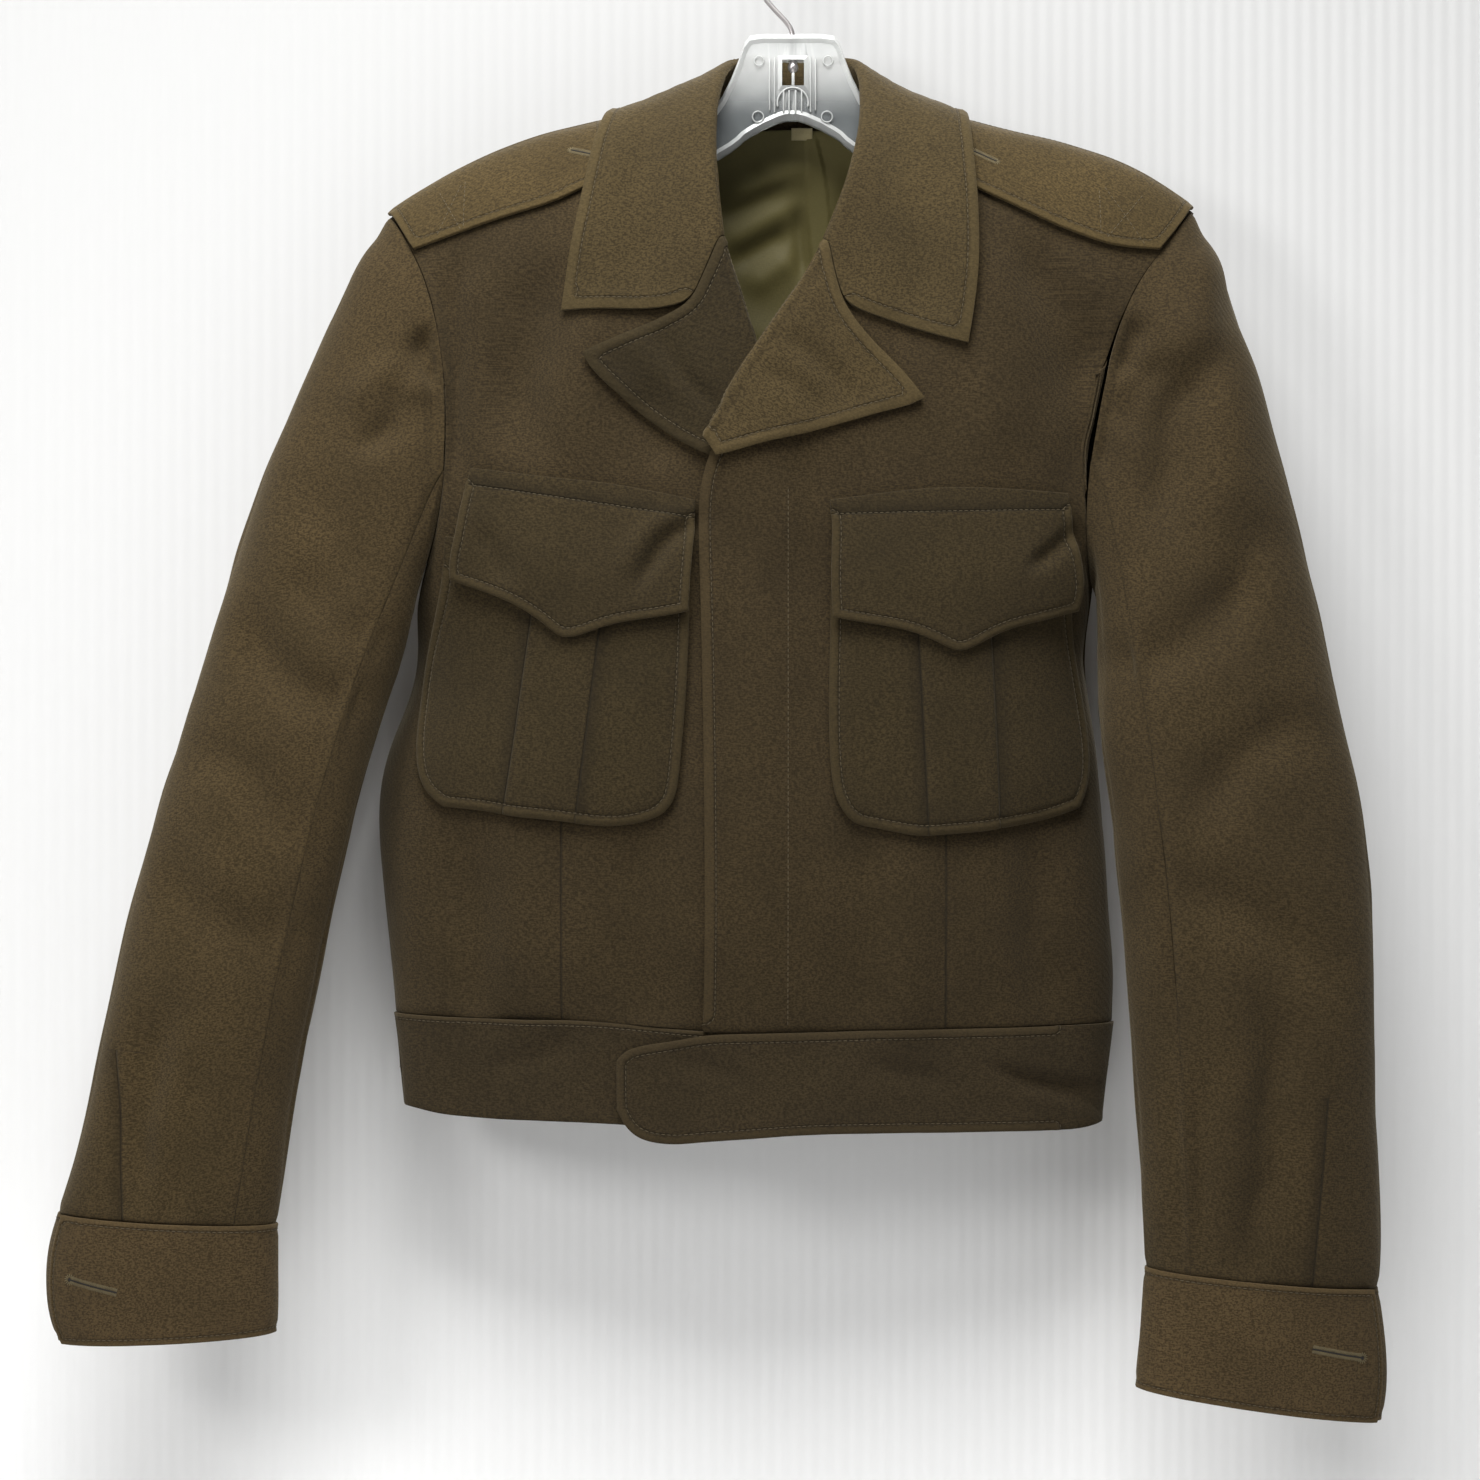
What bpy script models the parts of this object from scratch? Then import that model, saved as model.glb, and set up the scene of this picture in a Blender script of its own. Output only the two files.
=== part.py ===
"""A short waist length wool field jacket, worn and open necked, hanging on its plastic hanger.

Written in millimetres and built in metres, Z up. The front faces -Y, so the wearer's right is -X.
The origin is the inside of the top of the hook, where a rail or a peg would hold it.

How it is made: the body is one smooth surface, worked out from a table of sections and a table of
the shoulder line. Each cut piece is a patch of that surface, a sheet with a wall. What is sewn on
top, such as a pocket or a flap, is worked out from the same surface and moved out from it.
"""
import math

import bmesh
import bpy
from mathutils import Vector

for old in list(bpy.data.objects):
    bpy.data.objects.remove(old, do_unlink=True)

MM = 0.001
WALL = 1.5          # single cloth, mm
BAND = 2.5          # doubled cloth with an interlining: bands, cuffs, collar and lapels
SEAM = 0.15         # each edge stays back this far, so two pieces are 0.3 mm apart
DOME = 85.0         # height over which the shoulder rounds over into the chest and the back
ROUND = 2.3         # exponent of the body's section, 2 would be an ellipse
CAP = 2.2           # radius of the middle of the cloth where a collar or a lapel rolls over

# Body sections, mm: height, right side, left side, front, back, depth of the side line.
BODY = [
    # z,   x_right, x_left, y_front, y_back, y_side
    (-90, -258, 251, -44, 34, -4),
    (-180, -249, 247, -50, 37, -6),
    (-221, -240, 231, -54, 39, -7),
    (-275, -229, 209, -58, 40, -8),
    (-330, -218, 184, -60, 40, -8),
    (-386, -205, 163, -60, 40, -7),
    (-400, -203, 160, -60, 40, 1),
    (-418, -204, 160, -60, 40, 7),
    (-442, -210, 163, -60, 40, 11),
    (-471, -224, 168, -60, 40, 13),
    (-504, -227, 171, -60, 40, 13),
    (-548, -223, 173, -58, 39, 9),
    (-580, -219, 175, -55, 37, 5),
    (-602, -217, 175, -51, 34, 1),
    (-614, -215, 174, -48, 32, -1),
    (-640, -212, 171, -46, 31, -3),
    (-680, -209, 167, -44, 30, -4),
]

# The shoulder line, where the front and the back of the body meet, mm.
RIDGE = [
    # x, y, z
    (-262, -6, -222),
    (-240, -6, -197),
    (-220, -6, -178),
    (-192, -5, -159),
    (-170, -4, -147),
    (-148, -3, -138),
    (-126, -2, -131.5),
    (-105, -1, -126.5),
    (-83, 0, -121),
    (-61, 2, -115.5),
    (-38, 3, -110),
    (0, 4, -106),
    (38, 3, -111),
    (59, 2, -116),
    (92, 0, -124.5),
    (113, -1, -130),
    (135, -2, -135),
    (157, -3, -141.5),
    (179, -4, -149.5),
    (197, -5, -159.5),
    (218, -6, -175),
    (240, -6, -197),
    (262, -6, -222),
]

# Soft folds pressed into the front of the body, mm. A negative depth is a trough.
FOLDS = [
    # x0, z0, x1, z1, half_width, depth
    (132, -200, 152, -268, 15, -2.6),
    (-134, -218, -150, -290, 17, -2.2),
    (-84, -272, -70, -306, 12, -1.4),
    (40, -560, 150, -585, 14, 1.6),
    (-60, -560, -180, -585, 14, 1.6),
    (-66, -520, -68, -600, 9, -1.2),
    (120, -520, 126, -600, 9, -1.2),
]

# The armhole seam seen from the front, shoulder end first, mm.
ARMHOLE = {
    "right_front": [(-220, -178), (-212, -187), (-203, -200), (-194, -222), (-188, -250),
                    (-185, -288), (-187, -330), (-194, -362), (-205, -386)],
    "right_back": [(-220, -178), (-215, -188), (-209, -203), (-203, -228), (-199, -256),
                   (-196, -290), (-196, -326), (-199, -358), (-205, -386)],
    "left_front": [(218, -175), (209, -186), (197, -199), (184, -216), (173, -241),
                   (165, -275), (158, -316), (156, -354), (163, -386)],
    "left_back": [(218, -175), (214, -187), (208, -203), (200, -228), (192, -256),
                  (184, -288), (175, -324), (167, -358), (163, -386)],
}

# Sleeve sections, mm: the outer point and the inner point seen from the front, the middle depth
# half the depth from front to back, and how much further back the outer point lies than the
# middle. The first section is the armhole.
SLEEVE = {
    "right": [
        # outer_x, outer_z, inner_x, inner_z, y_mid, half_depth, lean
        (-220, -178, -205, -386, -7, 36, 0),
        (-234, -193, -207, -391, -9, 38, -1),
        (-245, -219, -208, -398, -11, 39, -1),
        (-259, -251, -208, -407, -13, 40, 0),
        (-274, -285, -210, -418, -16, 40, 2),
        (-288, -322, -213, -431, -19, 40, 5),
        (-302, -364, -219, -449, -22, 40, 8),
        (-313, -402, -225, -471, -25, 39, 9),
        (-327, -447, -233, -498, -29, 39, 8),
        (-339, -487, -240, -528, -32, 38, 6),
        (-350, -532, -247, -561, -35, 38, 4),
        (-359, -573, -254, -594, -38, 37, 2),
        (-367, -612, -260, -627, -41, 36, 0),
        (-374, -652, -266, -660, -43, 35, 0),
        (-382, -684, -270, -691, -44, 33, 0),
        (-388, -703, -273, -708, -44, 30, 0),
        (-391, -711, -274, -717, -44, 27, 0),
    ],
    "left": [
        (218, -175, 163, -386, -7, 36, 0),
        (230, -193, 166, -391, -9, 38, -1),
        (237, -219, 166, -398, -12, 39, -1),
        (248, -251, 165, -408, -15, 40, 0),
        (258, -285, 163, -419, -19, 40, 2),
        (268, -322, 163, -432, -23, 40, 5),
        (277, -364, 163, -450, -28, 39, 8),
        (286, -402, 165, -472, -33, 38, 9),
        (294, -447, 168, -499, -37, 37, 8),
        (303, -487, 171, -529, -41, 36, 6),
        (308, -532, 174, -562, -44, 36, 3),
        (308, -573, 177, -597, -46, 36, 1),
        (308, -612, 180, -632, -48, 36, 0),
        (309, -655, 182, -667, -49, 35, 0),
        (311, -690, 184, -700, -50, 33, 0),
        (312, -728, 185, -722, -50, 30, 0),
        (310, -750, 186, -739, -50, 27, 0),
    ],
}

# Long soft folds of the sleeves: place along and place around, both counted in sections.
SLEEVE_FOLDS = {
    "right": [
        # along0, around0, along1, around1, half_width, depth
        (1.5, 4.5, 4.5, 3.0, 14, -4.0),
        (3.0, 6.5, 7.5, 4.0, 15, -3.0),
        (7.0, 7.0, 9.5, 3.5, 13, -2.6),
        (9.0, 2.5, 12.0, 5.5, 14, -2.4),
        (12.0, 3.7, 16.0, 4.3, 10, -3.0),
        (13.0, 6.6, 16.0, 6.4, 9, -2.0),
    ],
    "left": [
        (0.8, 2.6, 4.5, 2.8, 13, 3.0),
        (1.6, 4.0, 7.0, 5.8, 13, -3.6),
        (2.2, 6.4, 5.5, 5.0, 12, -2.4),
        (7.0, 7.5, 9.5, 4.0, 13, -2.6),
        (9.0, 3.0, 12.0, 5.6, 14, -2.2),
        (12.0, 5.2, 16.0, 5.0, 11, -3.2),
        (13.5, 2.6, 16.0, 2.4, 9, -2.0),
    ],
}

# Cuff sections below the sleeve, mm, the same columns as the sleeve.
CUFF = {
    "right": [
        (-391, -711, -274, -717, -44, 27, 0),
        (-397, -730, -274, -731, -44, 27, 0),
        (-398, -750, -274, -748, -44, 27, 0),
        (-396, -768, -274, -763, -44, 26, 0),
        (-391, -780, -275, -775, -44, 26, 0),
    ],
    "left": [
        (310, -750, 186, -739, -50, 27, 0),
        (313, -767, 185, -753, -50, 27, 0),
        (315, -787, 184, -770, -50, 27, 0),
        (315, -806, 182, -788, -50, 26, 0),
        (312, -821, 181, -803, -50, 26, 0),
    ],
}

# Collar, from the wearer's right front round the back to the left front, mm. The neck seam and the
# outer edge lie on the body. Side 1 is the front of the body, side -1 is the back.
COLLAR = [
    # neck_x, neck_z, side, roll_x, roll_y, roll_z, edge_x, edge_z, side, edge_height
    (-44, -196, 1, -38.0, -53.5, -194, -123, -233, 1, 2.6),
    (-47, -181, 1, -41.0, -50.5, -173, -119, -205, 1, 3.0),
    (-49, -165, 1, -43.0, -45.0, -153, -113, -178, 1, 5.0),
    (-50, -146, 1, -43.0, -36.0, -133, -107, -150, 1, 6.2),
    (-50, -128, 1, -41.0, -21.0, -113, -101, -131, 1, 6.4),
    (-48, -113, 1, -36.0, 1.0, -94, -95, -125, -1, 6.2),
    (-40, -113, -1, -29.0, 17.0, -87, -80, -131, -1, 3.2),
    (-22, -116, -1, -16.0, 27.0, -85, -46, -146, -1, 2.6),
    (0, -117, -1, 0.0, 30.0, -85, 0, -150, -1, 2.6),
    (22, -116, -1, 17.0, 27.0, -85, 46, -147, -1, 2.6),
    (40, -114, -1, 31.0, 17.0, -87, 78, -133, -1, 3.2),
    (48, -114, 1, 37.0, 1.0, -95, 91, -126, -1, 7.0),
    (50, -129, 1, 38.0, -21.0, -115, 94, -134, 1, 7.0),
    (49, -148, 1, 36.0, -38.5, -137, 96, -158, 1, 6.2),
    (43, -166, 1, 32.0, -48.8, -157, 98, -182, 1, 5.0),
    (33, -183, 1, 25.0, -54.0, -176, 98, -215, 1, 3.0),
    (23, -199, 1, 17.0, -55.0, -197, 92, -251, 1, 2.6),
]
# The ends of the collar run down the gorge seam first, mm.
COLLAR_END = {
    "right": [(-38, -194), (-47, -212), (-55, -231), (-76, -233), (-100, -233), (-123, -233)],
    "left": [(17, -197), (22, -215), (27, -232), (45, -237), (69, -245), (92, -251)],
}

# Lapels, mm: a point of the roll line and the point of the outer edge that lies across it.
LAPEL = {
    "right": [
        # roll_x, roll_z, edge_x, edge_z
        (-38, -194, -111, -256),
        (-34, -208, -109, -262),
        (-29, -222, -101, -271),
        (-25, -236, -91, -280),
        (-21, -250, -81, -289),
        (-18, -264, -71, -296),
        (-15, -278, -59, -304),
        (-13, -291, -45, -311),
        (-12, -302, -31, -316),
    ],
    "left": [
        (17, -197, 69, -280),
        (11, -208, 62, -284),
        (3, -221, 50, -287),
        (-6, -234, 36, -291),
        (-14, -246, 20, -296),
        (-22, -258, 3, -301),
        (-30, -271, -12, -304),
        (-37, -283, -25, -308),
        (-43, -294, -36, -311),
        (-47, -302, -41, -312),
    ],
}
LAPEL_END = {
    "right": [(-38, -194), (-47, -212), (-55, -231), (-76, -240), (-96, -249), (-111, -256)],
    "left": [(17, -197), (22, -215), (27, -232), (40, -249), (56, -263), (69, -280)],
}

# The inner edge of each front: the neck seam, beside the roll line, and then the front edge, mm.
FRONT_EDGE = {
    "right": [(-48, -113), (-50, -128), (-50, -146), (-49, -165), (-47, -181), (-44, -196),
              (-35, -224), (-27, -252), (-21, -279), (-18, -303), (-10, -330), (-3, -350),
              (-2, -439), (-2, -545), (-2, -615)],
    "left": [(48, -113), (50, -129), (49, -148), (43, -166), (33, -183), (23, -199),
             (9, -223), (-8, -248), (-24, -273), (-36, -292), (-43, -304), (-50, -318),
             (-52, -336), (-50, -360),
             (-48, -439), (-47, -545), (-48, -615)],
}

# Height of the waist seam and of the hem, mm.
WAIST = [(-222, -608), (-160, -609), (-103, -610), (-48, -615), (60, -614), (180, -613)]
HEM = [(-222, -657), (-204, -659), (-185, -662), (-100, -665), (-30, -669), (150, -670), (165, -668),
       (180, -662)]
# The end of the waistband that laps over the other: x, top, bottom, mm.
TAB = [(-48, -616, -674), (-60, -619, -675.5), (-71, -620.5, -675), (-81, -622, -673),
       (-89, -624.5, -667), (-94, -630, -657)]

# Pockets and their flaps, mm: the edges seen from the front.
POCKET = {
    "right": {
        "top": [(-184, -352), (-120, -358), (-54, -352)],
        "bottom": [(-185, -496), (-152, -499), (-114, -504), (-82, -507), (-66, -497)],
        "outer": [(-184, -352), (-186, -376), (-193, -405), (-199, -438), (-202, -470), (-198, -486),
                  (-185, -496)],
        "inner": [(-54, -352), (-55, -397), (-57, -440), (-60, -476), (-61, -488), (-66, -497)],
        "pleat": [(-139, -396, -150, -499), (-102, -400, -113, -504)],
    },
    "left": {
        "top": [(146, -352), (84, -358), (20, -352)],
        "bottom": [(153, -497), (130, -505), (108, -508), (70, -511), (32, -505)],
        "outer": [(145, -352), (147.5, -378), (149, -405), (154.5, -438), (158, -466), (158, -484),
                  (153, -497)],
        "inner": [(20, -352), (19, -397), (18, -440), (19, -478), (22, -494), (32, -505)],
        "pleat": [(66, -402, 70, -510), (102, -404, 108, -508)],
    },
}
FLAP = {
    "right": {
        "top": [(-171, -316), (-134, -321), (-92, -326), (-52, -334)],
        "bottom": [(-179, -375), (-163, -381), (-145, -388), (-131, -397), (-119, -408), (-103, -402),
                   (-87, -398), (-70, -396), (-55, -393)],
        "outer": [(-171, -316), (-174, -330), (-176, -350), (-180, -368), (-179, -375)],
        "inner": [(-52, -334), (-52, -352), (-54, -375), (-55, -393)],
    },
    "left": {
        "top": [(146, -329), (98, -327), (67, -328), (19, -334)],
        "bottom": [(148, -389), (130, -394), (110, -401), (96, -409), (84, -415), (73, -408),
                   (56, -402), (36, -399), (20, -396)],
        "outer": [(146, -329), (147, -345), (150, -365), (151, -380), (148, -389)],
        "inner": [(19, -334), (20, -350), (19, -375), (20, -396)],
    },
}

# Shoulder loops, mm: the lower edge seen from the front, sleeve end first.
LOOP = {
    "right": [(-205, -200), (-187, -194), (-168, -187), (-150, -181), (-130, -175), (-114, -168),
              (-100, -162)],
    "left": [(196, -199), (178, -200), (160, -194), (142, -187), (122, -178), (104, -170),
             (90, -164)],
}

# Front of the hanger, mm: top edge and bottom edge, from the neck outwards. Both sides alike.
HANGER = [
    # x, top, bottom
    (0, -76, -123),
    (3, -76, -123),
    (7, -76, -124),
    (16, -76, -128),
    (23, -77, -132),
    (26, -81, -134),
    (29, -90, -137),
    (33, -100, -140),
    (38, -110, -143),
    (43, -117, -146),
    (52, -119, -149),
    (75, -125, -151),
    (105, -133, -157),
    (140, -142.5, -164),
    (170, -153.5, -172),
    (192, -165.5, -182),
    (204, -174.5, -189),
]
HANGER_THICK = [(0, 5.0), (43, 5.0), (75, 6.5), (170, 7.5), (192, 7.0), (204, 5.0)]

# The hook, mm: from the ball in the slot up the stem and over.
HOOK_STEM = [(0.6, -92), (0.6, -86), (0.6, -78), (0.0, -73), (-4, -68), (-10, -62), (-16, -54.5),
             (-20.5, -45), (-22.6, -33)]
HOOK_RADIUS = 22.5
WIRE = 1.5
BALL = 3.2           # radius of the hook's ball
BALL_PLACE = (0.6, -94.0)
SLOT = ((12.0, 30.0, 14.2), (0.6, 0, -97.4))     # size and place of the hanger's slot
BORE = ((3.8, 3.8, 30.0), (0.6, 0, -76.0))       # and of the bore that the stem goes down


def pick(rows, key):
    """Smooth values of a table at a place of its first column, straight outside of it."""
    step = 1 if rows[-1][0] > rows[0][0] else -1
    last = len(rows) - 1
    index = 0
    while index < last - 1 and (key - rows[index + 1][0]) * step > 0:
        index += 1
    low = rows[index]
    high = rows[index + 1]
    span = high[0] - low[0]
    share = (key - low[0]) / span
    before = rows[max(index - 1, 0)]
    after = rows[min(index + 2, last)]
    values = []
    for column in range(1, len(low)):
        slope_low = (high[column] - before[column]) / (high[0] - before[0]) * span
        slope_high = (after[column] - low[column]) / (after[0] - low[0]) * span
        if share < 0 or share > 1:
            rise = (high[column] - low[column]) / span
            start = low if share < 0 else high
            values.append(start[column] + rise * (key - start[0]))
            continue
        s2 = share * share
        s3 = s2 * share
        values.append(low[column] * (2 * s3 - 3 * s2 + 1) + slope_low * (s3 - 2 * s2 + share)
                      + high[column] * (3 * s2 - 2 * s3) + slope_high * (s3 - s2))
    return values


def along(points, count, smooth=True, places=None):
    """Points along a curve through the given ones, both ends included. They are spread evenly
    unless their places are given as shares of the length."""
    vectors = [Vector(p) for p in points]
    dense = []
    last = len(vectors) - 1
    for index in range(last):
        a = vectors[max(index - 1, 0)]
        b = vectors[index]
        c = vectors[index + 1]
        d = vectors[min(index + 2, last)]
        for part in range(12):
            t = part / 12
            if smooth:
                dense.append(0.5 * (2 * b + (c - a) * t + (2 * a - 5 * b + 4 * c - d) * t * t
                                    + (3 * b - a - 3 * c + d) * t * t * t))
            else:
                dense.append(b.lerp(c, t))
    dense.append(vectors[-1])
    lengths = [0.0]
    for index in range(1, len(dense)):
        lengths.append(lengths[-1] + (dense[index] - dense[index - 1]).length)
    result = []
    place = 0
    for number in range(count):
        share = places[number] if places else number / (count - 1)
        want = lengths[-1] * share
        while place < len(dense) - 2 and lengths[place + 1] < want:
            place += 1
        piece = lengths[place + 1] - lengths[place]
        result.append(dense[place].lerp(dense[place + 1], (want - lengths[place]) / piece))
    return result


def ease(value):
    """0 below 0, 1 above 1 and a soft step between them."""
    value = min(max(value, 0.0), 1.0)
    return value * value * (3 - 2 * value)


def shoulder(x):
    """Depth and height of the shoulder line."""
    return pick(RIDGE, x)


def fold_depth(x, z):
    """What the soft folds add to the front of the body here."""
    total = 0.0
    for x0, z0, x1, z1, half, depth in FOLDS:
        span = (x1 - x0) ** 2 + (z1 - z0) ** 2
        share = ((x - x0) * (x1 - x0) + (z - z0) * (z1 - z0)) / span
        near = min(max(share, 0.0), 1.0)
        away = math.hypot(x - x0 - near * (x1 - x0), z - z0 - near * (z1 - z0))
        total += depth * math.exp(-(away / half) ** 2)
    return total


def body(x, m):
    """A point of the body's outer face. m is the way down over the cloth from the shoulder line,
    positive over the front and negative over the back."""
    ridge_y, ridge_z = shoulder(x)
    way = abs(m)
    if way < DOME * math.pi / 2:
        drop = DOME * (1 - math.cos(way / DOME))
        swing = math.sin(way / DOME)
    else:
        drop = DOME + way - DOME * math.pi / 2
        swing = 1.0
    z = ridge_z - drop
    right, left, front, back, side = pick(BODY, z)
    middle = (right + left) / 2
    across = min(abs((x - middle) / ((left - right) / 2)), 1.0)
    full = (1 - across ** ROUND) ** (1 / ROUND)
    if m >= 0:
        depth = side + (front - side) * full - fold_depth(x, z) * (1 - across ** 4)
    else:
        depth = side + (back - side) * full
    return Vector((x, ridge_y + (depth - ridge_y) * swing, z))


def way_down(x, z, face=1):
    """The m of a point that is seen at x and z on the front, face 1, or the back, face -1."""
    drop = max(shoulder(x)[1] - z, 0.0)
    if drop < DOME:
        way = DOME * math.acos(1 - drop / DOME)
    else:
        way = drop - DOME + DOME * math.pi / 2
    return way * face


def out_of(x, m):
    """The direction straight out of the cloth there."""
    step = 1.5
    across = body(x + step, m) - body(x - step, m)
    down = body(x, m + step) - body(x, m - step)
    return across.cross(-down).normalized()


def above(x, m, height):
    """A point that lies a height above the cloth of the body."""
    return body(x, m) + out_of(x, m) * height


def on_front(x, z, height):
    """The same for a point given by x and z."""
    return above(x, way_down(x, z), height)


def patch(top, bottom, first, last, columns, rows):
    """A grid between four edges, in the plane of the edges. Columns and rows are shares."""
    across_top = along(top, 61)
    across_bottom = along(bottom, 61)
    down_first = along(first, 61)
    down_last = along(last, 61)

    def at(curve, share):
        spot = share * 60
        low = min(int(spot), 59)
        return curve[low].lerp(curve[low + 1], spot - low)

    grid = []
    for v in rows:
        line = []
        for u in columns:
            straight = (at(across_top, u) * (1 - v) + at(across_bottom, u) * v
                        + at(down_first, v) * (1 - u) + at(down_last, v) * u)
            corners = (across_top[0] * (1 - u) * (1 - v) + across_top[-1] * u * (1 - v)
                       + across_bottom[0] * (1 - u) * v + across_bottom[-1] * u * v)
            line.append(straight - corners)
        grid.append(line)
    return grid


def shares(count):
    """Even shares from 0 to 1."""
    return [index / count for index in range(count + 1)]


def spot_of(point):
    """A name for a place, the same for two corners that meet."""
    return (round(point.x, 2), round(point.y, 2), round(point.z, 2))


def corner_directions(grid):
    """The direction of each corner of a grid, from the faces around it."""
    rows = len(grid)
    columns = len(grid[0])
    result = [[Vector((0, 0, 0)) for _ in range(columns)] for _ in range(rows)]
    for r in range(rows - 1):
        for c in range(columns - 1):
            a = grid[r][c]
            b = grid[r][c + 1]
            d = grid[r + 1][c]
            e = grid[r + 1][c + 1]
            face = (e - a).cross(b - d)
            for rr, cc in ((r, c), (r, c + 1), (r + 1, c), (r + 1, c + 1)):
                result[rr][cc] = result[rr][cc] + face
    return result


def share_directions(grids):
    """The directions out of the cloth that neighbours share, so that the walls at their seams are
    parallel. The grids come as pairs of a grid and whether its faces are turned round."""
    shared = {}
    for grid, flip in grids:
        sign = -1 if flip else 1
        for line, points in zip(corner_directions(grid), grid):
            for direction, point in zip(line, points):
                name = spot_of(point)
                shared[name] = shared.get(name, Vector((0, 0, 0))) + direction * sign
    return shared


def join_directions(first, second):
    """Makes two pieces' directions one where their seam turns by less than a right angle."""
    for name in sorted(set(first) & set(second)):
        if first[name].normalized().dot(second[name].normalized()) > 0.1:
            first[name] = first[name] + second[name]
            second[name] = first[name]


def material(name, colour, rough, metal=0.0):
    """One material for one piece."""
    made = bpy.data.materials.new(name)
    made.use_nodes = True
    shader = made.node_tree.nodes["Principled BSDF"]
    shader.inputs["Base Color"].default_value = (colour[0], colour[1], colour[2], 1)
    shader.inputs["Roughness"].default_value = rough
    shader.inputs["Metallic"].default_value = metal
    return made


jacket = bpy.data.collections.new("ike_jacket_on_hanger")
bpy.context.scene.collection.children.link(jacket)
cutters = bpy.data.collections.new("cutters")
bpy.context.scene.collection.children.link(cutters)


def keep(mesh_data, name, colour, rough, metal=0.0):
    """Makes the named object of a finished mesh, with its own material."""
    mesh = bpy.data.meshes.new(name)
    mesh_data.to_mesh(mesh)
    mesh_data.free()
    piece = bpy.data.objects.new(name, mesh)
    jacket.objects.link(piece)
    mesh.materials.append(material(name + "_cloth" if metal == 0 else name + "_metal", colour, rough,
                                   metal))
    return piece


def square_to(way, beside):
    """The direction of way without its part along beside."""
    beside = beside.normalized()
    return (way - beside * way.dot(beside)).normalized()


def sheet(name, grid, outer, inner, colour, rough=0.9, flip=False, shared=None, pull=SEAM):
    """A wall of cloth between two heights above a grid, and its rim. The rim stays back from the
    grid's edges by pull."""
    rows = len(grid)
    columns = len(grid[0])
    sign = -1 if flip else 1
    directions = corner_directions(grid)
    points = [[Vector(p) for p in line] for line in grid]
    for r in range(rows):
        for c in range(columns):
            if shared:
                directions[r][c] = shared[spot_of(grid[r][c])].normalized()
            else:
                directions[r][c] = directions[r][c].normalized() * sign
            move = Vector((0, 0, 0))
            if r in (0, rows - 1):
                beside = grid[r][min(c + 1, columns - 1)] - grid[r][max(c - 1, 0)]
                move += square_to(grid[1 if r == 0 else r - 1][c] - grid[r][c], beside) * pull
            if c in (0, columns - 1):
                beside = grid[min(r + 1, rows - 1)][c] - grid[max(r - 1, 0)][c]
                move += square_to(grid[r][1 if c == 0 else c - 1] - grid[r][c], beside) * pull
            points[r][c] += move
    data = bmesh.new()
    faces = {}
    for side, height in (("out", outer), ("in", inner)):
        for r in range(rows):
            for c in range(columns):
                lift = height[r][c] if isinstance(height, list) else height
                faces[side, r, c] = data.verts.new((points[r][c] + directions[r][c] * lift) * MM)
    for r in range(rows - 1):
        for c in range(columns - 1):
            loop = [(r, c), (r, c + 1), (r + 1, c + 1), (r + 1, c)]
            data.faces.new([faces["out", i, j] for i, j in loop])
            data.faces.new([faces["in", i, j] for i, j in reversed(loop)])
    rim = [(0, c) for c in range(columns)]
    rim += [(r, columns - 1) for r in range(1, rows)]
    rim += [(rows - 1, c) for c in range(columns - 2, -1, -1)]
    rim += [(r, 0) for r in range(rows - 2, 0, -1)]
    for index, here in enumerate(rim):
        there = rim[(index + 1) % len(rim)]
        data.faces.new([faces["out", there[0], there[1]], faces["out", here[0], here[1]],
                        faces["in", here[0], here[1]], faces["in", there[0], there[1]]])
    bmesh.ops.recalc_face_normals(data, faces=data.faces[:])
    return keep(data, name, colour, rough)


def three_lengths(name, grid, outer, inner, colour, cuts, shared):
    """A long wall of cloth as three solids, one below the other, so that each of them bends less
    and collision follows it closely."""
    ends = [0] + cuts + [len(grid) - 1]
    for word, first, last in zip(("", "_mid", "_low"), ends, ends[1:]):
        rows = slice(first, last + 1)
        heights = [height[rows] if isinstance(height, list) else height for height in (outer, inner)]
        sheet(name + word, grid[rows], heights[0], heights[1], colour, shared=shared)


# Colours of the cloth, linear values.
SLEEVE_WOOL = (0.065, 0.046, 0.024)
CHEST_WOOL = (0.050, 0.037, 0.020)
POCKET_WOOL = (0.052, 0.039, 0.021)
COLLAR_WOOL = (0.090, 0.066, 0.034)
BAND_WOOL = (0.045, 0.033, 0.018)
SATEEN = (0.062, 0.053, 0.026)

ARM_STEPS = 11       # cells down each half of an armhole
SIDE_STEPS = 9       # cells down a side seam
RIDGE_STEPS = 10     # cells along a shoulder seam
NECK_STEPS = 6       # cells across the back of the neck
ROWS = ARM_STEPS + SIDE_STEPS
# Shares down an armhole: the cells are smaller near the shoulder, where the cloth is rounder.
ARM_PLACES = [(step / ARM_STEPS) ** 1.25 for step in range(ARM_STEPS + 1)]
DOWN_PLACES = ([0.55 * share for share in ARM_PLACES]
               + [0.55 + 0.45 * step / SIDE_STEPS for step in range(1, SIDE_STEPS + 1)])


def armhole(side, face):
    """The armhole's points on one face of the body, from the shoulder to the underarm."""
    line = along(ARMHOLE[side + ("_front" if face > 0 else "_back")], ARM_STEPS + 1,
                 places=ARM_PLACES)
    return [(p.x, way_down(p.x, p.y, face)) for p in line]


def side_x(side, z):
    """Where the body's side line is at a height."""
    return pick(BODY, z)[0 if side == "right" else 1]


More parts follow.
